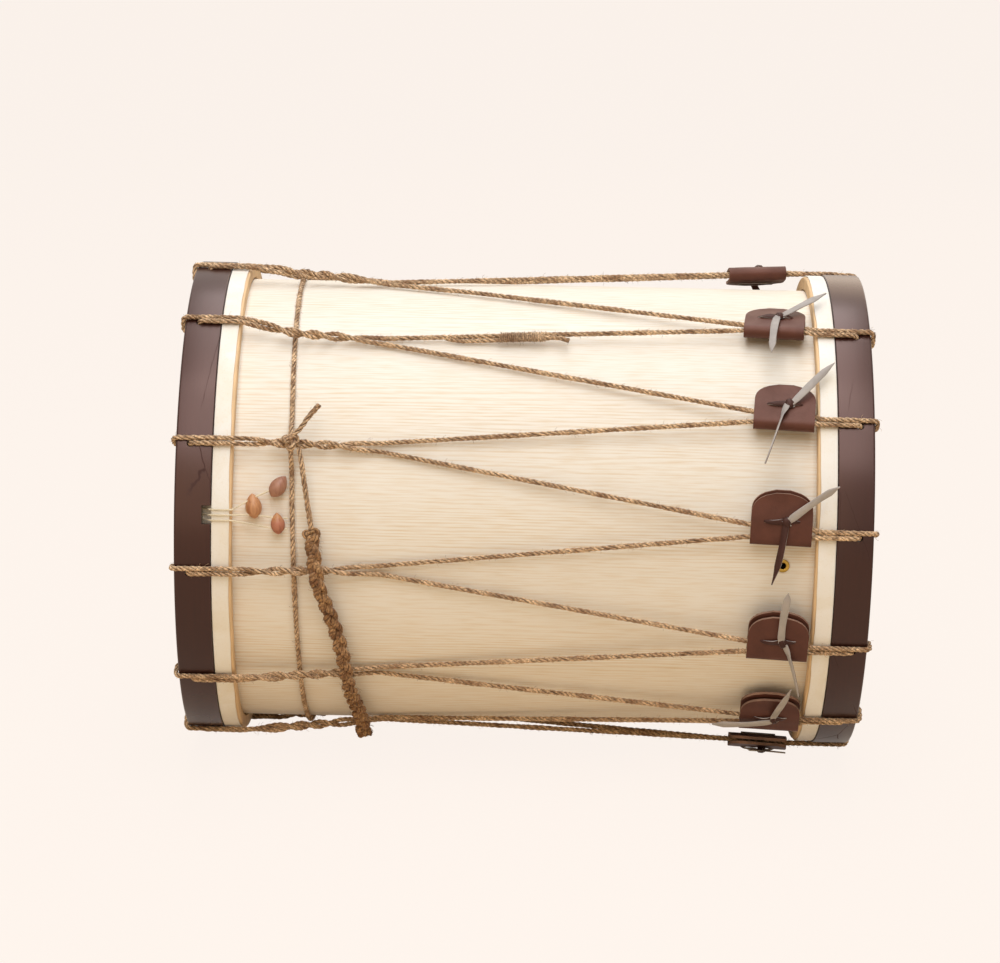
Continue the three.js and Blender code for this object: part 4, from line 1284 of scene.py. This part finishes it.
def girdle_path():
    """The girdle's turn round the shell, with its two ends rising into the knot."""
    angle = left_angle(KNOT_PAIR)
    pair_edge = PAIR_HALF + ROPE + FIT

    def at(turn, share=0.0):
        radius = GIRDLE_RADIUS + share * (KNOT_RADIUS - GIRDLE_RADIUS)
        return polar(girdle_at(turn), radius, turn)

    def end(sign):
        steps = ((0.2 * KNOT_WIDE, 1), (pair_edge + ROPE / 3, 0.7), (pair_edge + 1.4 * ROPE, 0.2))
        return [at(angle + math.degrees(sign * far / GIRDLE_RADIUS), share) for far, share in steps]

    leave = math.degrees((pair_edge + 3 * ROPE) / GIRDLE_RADIUS)
    lying = [at(angle + leave + (360 - 2 * leave) * t) for t in shares(72)]
    return smooth([*end(1), *lying, *reversed(end(-1))], 3)


def string_path(index):
    """A gut string: from its tie at the back, across the head and the notches, to the girdle."""
    offset = (index - (len(STRING_FRONT) - 1) / 2) * STRING_PITCH
    clear = STRING / 2 + FIT
    over_edge = (
        (HEAD_X + clear, SHELL_RADIUS - EDGE_ROUND - STRING),
        (HEAD_X + SKIN / 4, SHELL_RADIUS),
        (HOOP_INNER_X + NOTCH_DEPTH + FIT, (COLLAR_OUTER + HOOP_INNER) / 2),
        (HOOP_INNER_X + NOTCH_DEPTH / 2, HOOP_INNER + STRING),
        (LAP_TOP_X + FIT + STRING, LAP_OUTER - STRING / 2),
        (LAP_TOP_X - FIT, LAP_OUTER + clear),
        (LAP_END_X, LAP_OUTER + clear),
        (FLESH_END_X - FIT, FLESH_OUTER + clear),
    )

    def end_on(angle):
        return girdle_at(angle) - ROPE_RADIUS - FIT

    front = [polar(-x, reach, SNARE_ANGLE, offset) for x, reach in over_edge]
    back = [polar(-x, -reach, SNARE_ANGLE, offset) for x, reach in over_edge]
    ties = STRING_FRONT[index]
    _, height, up = ties[-1]
    last_angle = notch_angle(up)
    tied = polar(end_on(last_angle), SHELL_RADIUS + height * MM - STRING, last_angle)
    back_tie = polar(end_on(SNARE_ANGLE + 180), -GIRDLE_RADIUS, SNARE_ANGLE, offset)
    points = [back_tie, *reversed(back), *front, *[by_notch(t) for t in ties], tied]
    return rounded([(p, STRING_BEND) for p in points], 4)


def toggle_bead(index):
    """A seed-shaped toggle: pointed ends, and a ridge along its outer side."""
    from_rim, up, lean, size = TOGGLES[index]
    angle = notch_angle(up)
    place = beside((from_rim, (FIT + BEAD_WIDTH / 2) / MM, angle))
    out = outward(angle)
    along = Quaternion(out, math.radians(lean)) @ around(angle)
    side = along.cross(out).normalized()
    bm = bmesh.new()
    tone_layer = bm.verts.layers.float_color.new("tone")
    tone = Vector(colour("toggle_%d" % (index + 1)))
    worn = Vector(colour("toggle_1")) if index == WORN_TOGGLE else tone
    rings = []
    for share in shares(22):
        t = 2 * share - 1
        width = max((1 - t * t) ** 0.72 * (1 - 0.16 * t), 0.02)
        ring = []
        for part in shares(24)[:-1]:
            turn = math.tau * part
            high = math.cos(turn)
            ridge = 1 + 0.07 * max(high, 0) ** 8 - 0.05 * max(-high, 0)
            away = out * high + side * math.sin(turn)
            reach = size * BEAD_WIDTH / 2 * width * ridge
            vert = bm.verts.new(place + along * (t * size * BEAD_LENGTH / 2) + away * reach)
            # The worn toggle pales towards its upper end
            vert[tone_layer] = tone.lerp(worn, clamped((t - 0.1) / 0.5))
            ring.append(vert)
        rings.append(ring)
    bridge(bm, rings)
    for ring in (rings[0], rings[-1]):
        bm.faces.new(ring)
    bmesh.ops.recalc_face_normals(bm, faces=bm.faces)
    return bm


# Stage


def studio_floor():
    """A floor that is seen as pale paper, and that throws warm light back up."""
    cloth = bpy.data.materials.new("studio_floor")
    add = emptied(cloth)
    ray = add("LightPath", out=None)
    clear = add("Math MAXIMUM", ray["Is Camera Ray"], ray["Is Transmission Ray"])
    seen = add("Math MULTIPLY", clear, 0.95)
    # In a shine the floor is pale too, with more of the drum's shadow on it
    shine = add("Math MULTIPLY", ray["Is Glossy Ray"], 0.4)
    share = add("Math MAXIMUM", seen, shine)
    matt = add("BsdfDiffuse", {"Color": colour("floor_bounce")})
    glow = add("Emission", {"Color": colour("floor"), "Strength": 1})
    mixed = add("MixShader", share, matt, glow)
    add("OutputMaterial", {"Surface": mixed}, out=None)
    floor_bm = bmesh.new()
    bmesh.ops.create_grid(floor_bm, x_segments=1, y_segments=1, size=FLOOR_HALF)
    return from_bmesh("floor", floor_bm, cloth)


def studio_world():
    """A dim warm room, seen as the pale background."""
    world = bpy.data.worlds.new("studio")
    add = emptied(world)
    ray = add("LightPath", out=None)
    seen = add("Math MAXIMUM", ray["Is Camera Ray"], ray["Is Glossy Ray"])
    seen_all = add("Math MAXIMUM", seen, ray["Is Transmission Ray"])
    sky = add("Background", {
        "Color": add("Mix RGBA", {
            0: seen_all, MIX_A: (1, 0.8, 0.56, 1), MIX_B: colour("floor")}, out=MIXED),
        "Strength": add("MapRange", {0: seen_all, 3: 0.18, 4: 1})})
    add("OutputWorld", {"Surface": sky}, out=None)
    return world


def softboxes(target):
    """The lights: their names, places, sizes, powers and tints."""
    white, warm = (0.94, 0.96, 1), (1, 0.76, 0.48)
    for name, place, (width, depth), power, tint in (
        ("top_softbox", (0, 0.2, 2.1), (1.0, 2.3), 26, white),
        ("front_softbox", (0, -1.3, 1.8), (1.6, 1.5), 25, white),
        ("front_fill", (-0.6, -2.6, 0.9), (1.8, 1.8), 9, warm),
        ("back_fill", (0.6, 2.4, 1.3), (1.6, 1.6), 6, warm),
    ):
        lamp = bpy.data.lights.new(name, "AREA")
        lamp.shape = "RECTANGLE"
        lamp.size, lamp.size_y = width, depth
        lamp.energy = power
        lamp.color = tint
        obj = linked(name, lamp)
        obj.location = place
        obj.rotation_euler = (target - obj.location).to_track_quat("-Z", "Y").to_euler()


def photo_camera(target):
    """The camera of the photograph."""
    # In pixels of the picture: its width, the focal length, and the drum from its middle
    picture, focal, left, down = 1000, 3186, -24.5, 20.5
    rise, distance, tilt = math.radians(14), 2.24, math.radians(1.25)
    camera = bpy.data.cameras.new("camera")
    camera.sensor_width = 36
    camera.lens = camera.sensor_width * focal / picture
    camera.shift_x, camera.shift_y = left / picture, down / picture
    camera.clip_end = 100
    eye = linked("camera", camera)
    look = Vector((0, math.cos(rise), -math.sin(rise)))
    eye.location = target - look * distance
    turn = look.to_track_quat("-Z", "Y") @ Quaternion((0, 0, 1), tilt)
    eye.rotation_euler = turn.to_euler()
    return eye


# Operators


class DRUM_OT_stage(bpy.types.Operator):
    """Adds the floor, the lights and the camera."""

    bl_idname = "drum.stage"
    bl_label = "Stage"

    def execute(self, context):
        scene = context.scene
        scene.view_settings.view_transform = "Standard"
        floor = studio_floor()
        scene.world = studio_world()
        target = Vector((0, 0, AXIS_Z))
        softboxes(target)
        scene.camera = photo_camera(target)
        return {"FINISHED"}


class DRUM_OT_drag_rope(bpy.types.Operator):
    """Adds the lead from the girdle's knot, and the plaited drag rope with its end knots."""

    bl_idname = "drum.drag_rope"
    bl_label = "Drag rope"

    def execute(self, context):
        lead_path = smooth([beside(p) for p in (*DRAG_LEAD, LEAD_TUCK)], 6)
        lead = lacing_rope("drag_lead_rope", [lead_path], SEEDS["lead"], radius=KNOT_ROPE, hair=0.7)
        put(lead, ROOT, "drag_lead")

        braid_path = smooth([beside(p) for p in DRAG_BRAID], 6)
        braid = roped(
            "drag_braid_plait", [braid_path], plait_tree, width=BRAID, turn=sizes().plait_length,
            radius=PLAIT_ROPE, fuzz=1.6 * sizes().rope_fuzz, seed=SEEDS["plait"],
            material=finish("plaited_jute"),
        )
        put(braid, ROOT, "drag_braid")
        for label, tip, back, reach in (("head", 0, 4, 0), ("end", -1, -5, -3 * MM)):
            centre = braid_path[tip]
            run = (centre - braid_path[back]).normalized()
            across = run.cross(off_axis(centre)).normalized()
            turns = overhand(centre + run * reach, across, run, across.cross(run), KNOT_TURN)
            knot = lacing_rope("drag_braid_%s_knot" % label, [turns], SEEDS["plait_knots"] + tip,
                               radius=KNOT_ROPE, jute="plaited_jute")
            put(knot, ROOT, "drag_braid")
        return {"FINISHED"}


class DRUM_OT_shell(bpy.types.Operator):
    """Adds the pine shell, its air hole and the brass eyelet."""

    bl_idname = "drum.shell"
    bl_label = "Shell"

    def execute(self, context):
        inner = SHELL_RADIUS - SHELL_WALL
        shell = turned("shell_wall", (
            (inner, -SHELL_END_X, EDGE_ROUND), (SHELL_RADIUS, -SHELL_END_X, EDGE_ROUND),
            (SHELL_RADIUS, SHELL_END_X, EDGE_ROUND), (inner, SHELL_END_X, EDGE_ROUND),
        ), "bare_pine")
        out, bore, flange = outward(VENT_ANGLE), VENT_HOLE / 2, VENT_FLANGE / 2
        place = polar(RIM_X - VENT_FROM_RIM, SHELL_RADIUS, VENT_ANGLE)
        drill = bmesh.new()
        cylinder_along(drill, place, out, bore + VENT_BRASS + FIT, 4 * SHELL_WALL)
        put(cut(shell, drill), ROOT, "shell")
        for side in ("left", "right"):
            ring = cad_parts["bearing_ring_" + side]
            ring.data.materials.clear()
            ring.data.materials.append(finish("bare_pine"))

        facing = out.to_track_quat("Z", "Y")

        def on_vent(height, radius, angle):
            turn = math.radians(angle)
            flat = Vector((radius * math.cos(turn), radius * math.sin(turn), height))
            return place + facing @ flat

        eyelet = turned("vent_eyelet_brass", (
            (bore, -SHELL_WALL, 0), (bore + VENT_BRASS, -SHELL_WALL, 0),
            (bore + VENT_BRASS, FIT, 0), (flange, FIT, 0.2 * MM),
            (flange - 0.3 * MM, FIT + 1.1 * VENT_BRASS, 0.5 * MM),
            (bore, FIT + 1.1 * VENT_BRASS, 0.9 * MM),
        ), "pressed_brass", VENT_STEPS, place=on_vent)
        put(eyelet, ROOT, "vent_eyelet")
        return {"FINISHED"}


class DRUM_OT_hoops(bpy.types.Operator):
    """Adds the two stained counter hoops with their lacing holes."""

    bl_idname = "drum.hoops"
    bl_label = "Counter hoops"

    def execute(self, context):
        edge = sizes().hoop_round
        for side, sign, place_angle in (("left", -1, hole_angle), ("right", 1, right_angle)):
            near, rim = sign * HOOP_INNER_X, sign * RIM_X
            hoop = turned("counter_hoop_%s_ash" % side, (
                (HOOP_INNER, near, edge / 2), (HOOP_OUTER, near, edge / 2),
                (HOOP_OUTER, rim, edge), (HOOP_INNER, rim, edge),
            ), "stained_ash")
            drill = bmesh.new()
            for pair in range(LACE_COUNT):
                angle = place_angle(pair)
                middle = polar(sign * HOLE_X, HOOP_MIDDLE, angle, -LACE_HALF)
                cylinder_along(drill, middle, outward(angle), LACE_RADIUS + HOLE_EASE / 4,
                               2 * HOOP_WALL)
            if side == "left":
                # The strings' two notches
                turn = Matrix.Rotation(math.radians(-SNARE_ANGLE), 4, "X")
                at = Matrix.Translation((near, 0, AXIS_Z))
                scale = Matrix.Diagonal((2 * NOTCH_DEPTH, 4 * HOOP_OUTER, NOTCH_WIDTH, 1))
                bmesh.ops.create_cube(drill, size=1, matrix=at @ turn @ scale)
            put(cut(hoop, drill), ROOT, "counter_hoop_" + side)
        return {"FINISHED"}


class DRUM_OT_heads(bpy.types.Operator):
    """Adds the flesh hoops and the skins lapped over them."""

    bl_idname = "drum.heads"
    bl_label = "Heads"

    def execute(self, context):
        for side, sign in (("left", -1), ("right", 1)):
            hoop = turned("flesh_hoop_%s_ash" % side, [
                (radius, sign * x, soft * MM) for radius, x, soft in (
                    (FLESH_INNER, FLESH_END_X, 0.6), (FLESH_OUTER, FLESH_END_X, 1.2),
                    (FLESH_OUTER, FLESH_TOP_X, 0.5), (FLESH_INNER, FLESH_TOP_X, 0.5),
                )], "bare_ash")
            put(hoop, ROOT, "flesh_hoop_" + side)

            flat_edge, bands = SHELL_RADIUS - EDGE_ROUND, 9
            under_x, under_lap_x = HEAD_X - SKIN, LAP_TOP_X - SKIN
            corners = [(radius, sign * x, soft * MM) for radius, x, soft in (
                *[(flat_edge * k / bands, HEAD_X, 0) for k in range(bands)],
                (COLLAR_OUTER, HEAD_X, 2.2), (COLLAR_OUTER, LAP_TOP_X, 0.5),
                (LAP_OUTER, LAP_TOP_X, 0.9), (LAP_OUTER, LAP_END_X, 0.25),
                (LAP_INNER, LAP_END_X, 0), (LAP_INNER, under_lap_x, 0.3),
                (COLLAR_INNER, under_lap_x, 0.3), (COLLAR_INNER, under_x, 1.76),
                *[(flat_edge * k / bands, under_x, 0) for k in reversed(range(bands))],
            )]

            def wander(radius, x, angle, sign=sign):
                if radius <= LAP_INNER - 0.1 * MM or abs(x) >= LAP_TOP_X - 3 * MM:
                    return 0, 0
                spot = outward(angle) * 4.5 + Vector((sign * 3, 0, 0))
                edge = noise.noise(spot) + 0.5 * noise.noise(spot * 3.1)
                return 0.15 * MM * noise.noise(spot * 5), sign * sizes().lap_wave * edge

            skin = turned("head_%s_skin" % side, corners, "calfskin", SKIN_STEPS, wander=wander)
            put(skin, ROOT, "head_" + side)
        return {"FINISHED"}


class DRUM_OT_lacing(bpy.types.Operator):
    """Adds the lacing rope: two strands a span that follow their tug, and a loop past it."""

    bl_idname = "drum.lacing"
    bl_label = "Lacing"

    def execute(self, context):
        for span, number, body in spans():
            rope = "tension_rope_" + number
            hold, lower, upper, loop = strand_corners(span)
            low_path = wound(rounded(lower), 1, span)
            high_path = wound(rounded(upper), -1, span - 1)
            blended = [
                lacing_rope(rope + "_strands", [low_path, high_path], SEEDS["strands"] + span)]
            if span == SPLICED:
                second, binding = splice_paths(low_path)
                blended += [
                    lacing_rope(rope + "_splice", [second], SEEDS["splice"], SPLICE_ROPE),
                    lacing_rope(rope + "_whipping", [binding], SEEDS["whipping"], BINDING_CORD)]
            for piece in blended:
                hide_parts(rope)
                hold.at(-TUG_WIDTH / 2, 0)
                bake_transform(piece)
            past_tug = lacing_rope(rope + "_loop", [rounded(loop)], SEEDS["loops"] + span)
            put(past_tug, ROOT, rope)
        return {"FINISHED"}


class DRUM_OT_tugs(bpy.types.Operator):
    """Adds the folded leather tugs."""

    bl_idname = "drum.tugs"
    bl_label = "Tugs"

    def execute(self, context):
        for span, number, body in spans():
            bm = tug_sheet(span + 1)
            bmesh.ops.transform(bm, matrix=SpanFrame(span).matrix(), verts=bm.verts)
            tug = from_bmesh("tug_%s_leather" % number, bm, finish("tug_hide"),
                             finish("tug_raw_edge"))
            bevel = tug.modifiers.new("edge", "BEVEL")
            bevel.width = sizes().leather_edge
            bevel.segments = 2
            bevel.angle_limit = math.radians(50)
            tug = baked(tug, tug.name)
            put(tug, body, "tug_" + number)
        return {"FINISHED"}


class DRUM_OT_thongs(bpy.types.Operator):
    """Adds the thongs that close the tugs."""

    bl_idname = "drum.thongs"
    bl_label = "Thongs"

    def execute(self, context):
        for span, number, body in spans():
            bm = thong_strap(span)
            bmesh.ops.transform(bm, matrix=SpanFrame(span).matrix(), verts=bm.verts)
            thong = from_bmesh("thong_%s_leather" % number, bm, finish("thong_suede"),
                               finish("thong_grain"), sharp=55)
            put(thong, body, "thong_" + number)
        return {"FINISHED"}


class DRUM_OT_girdle(bpy.types.Operator):
    """Adds the girdle rope and its knot."""

    bl_idname = "drum.girdle"
    bl_label = "Girdle"

    def execute(self, context):
        girdle = lacing_rope("girdle_rope_turn", [girdle_path()], SEEDS["girdle"])
        put(girdle, ROOT, "girdle_rope")
        knot = lacing_rope("girdle_knot_rope", [knot_path()], SEEDS["girdle_knot"], KNOT_ROPE)
        put(knot, ROOT, "girdle_knot")
        return {"FINISHED"}


class DRUM_OT_snare(bpy.types.Operator):
    """Adds the gut strings and their wooden toggles."""

    bl_idname = "drum.snare"
    bl_label = "Snare"

    def execute(self, context):
        for index in range(len(STRING_FRONT)):
            name = "snare_string_%d" % (index + 1)
            string = roped(
                name + "_gut", [string_path(index)], radius=GUT_RADIUS, lay=GUT_LAY,
                step=GUT_STEP, fuzz=0.0, seed=SEEDS["gut"], material=finish("twisted_gut"),
            )
            put(string, ROOT, name)
        for index in range(len(TOGGLES)):
            name = "snare_toggle_%d" % (index + 1)
            bead = from_bmesh(name + "_wood", toggle_bead(index), finish("toggle_wood"))
            put(bead, ROOT, name)
        return {"FINISHED"}


OPERATORS = (
    DRUM_OT_stage, DRUM_OT_drag_rope, DRUM_OT_shell, DRUM_OT_hoops, DRUM_OT_heads, DRUM_OT_lacing,
    DRUM_OT_tugs, DRUM_OT_thongs, DRUM_OT_girdle, DRUM_OT_snare,
)


class DRUM_PT_panel(bpy.types.Panel):
    """Lists the drum's pieces and finishes."""

    bl_idname = "DRUM_PT_panel"
    bl_label = "Renaissance drum"
    bl_space_type = "VIEW_3D"
    bl_region_type = "UI"
    bl_category = "Drum"

    def draw(self, context):
        for group in (context.scene.drum_sizes, context.scene.drum_colours):
            for key in group.__annotations__:
                self.layout.prop(group, key)
        for operator in OPERATORS:
            self.layout.operator(operator.bl_idname)


CLASSES = (DrumSizes, DrumColours, *OPERATORS, DRUM_PT_panel)


def register():
    for cls in CLASSES:
        bpy.utils.register_class(cls)
    bpy.types.Scene.drum_sizes = bpy.props.PointerProperty(type=DrumSizes)
    bpy.types.Scene.drum_colours = bpy.props.PointerProperty(type=DrumColours)


def unregister():
    del bpy.types.Scene.drum_colours
    del bpy.types.Scene.drum_sizes
    for cls in reversed(CLASSES):
        bpy.utils.unregister_class(cls)


def main():
    register()
    for operator in OPERATORS:
        group, name = operator.bl_idname.split(".")
        getattr(getattr(bpy.ops, group), name)()


if __name__ == "__main__":
    main()
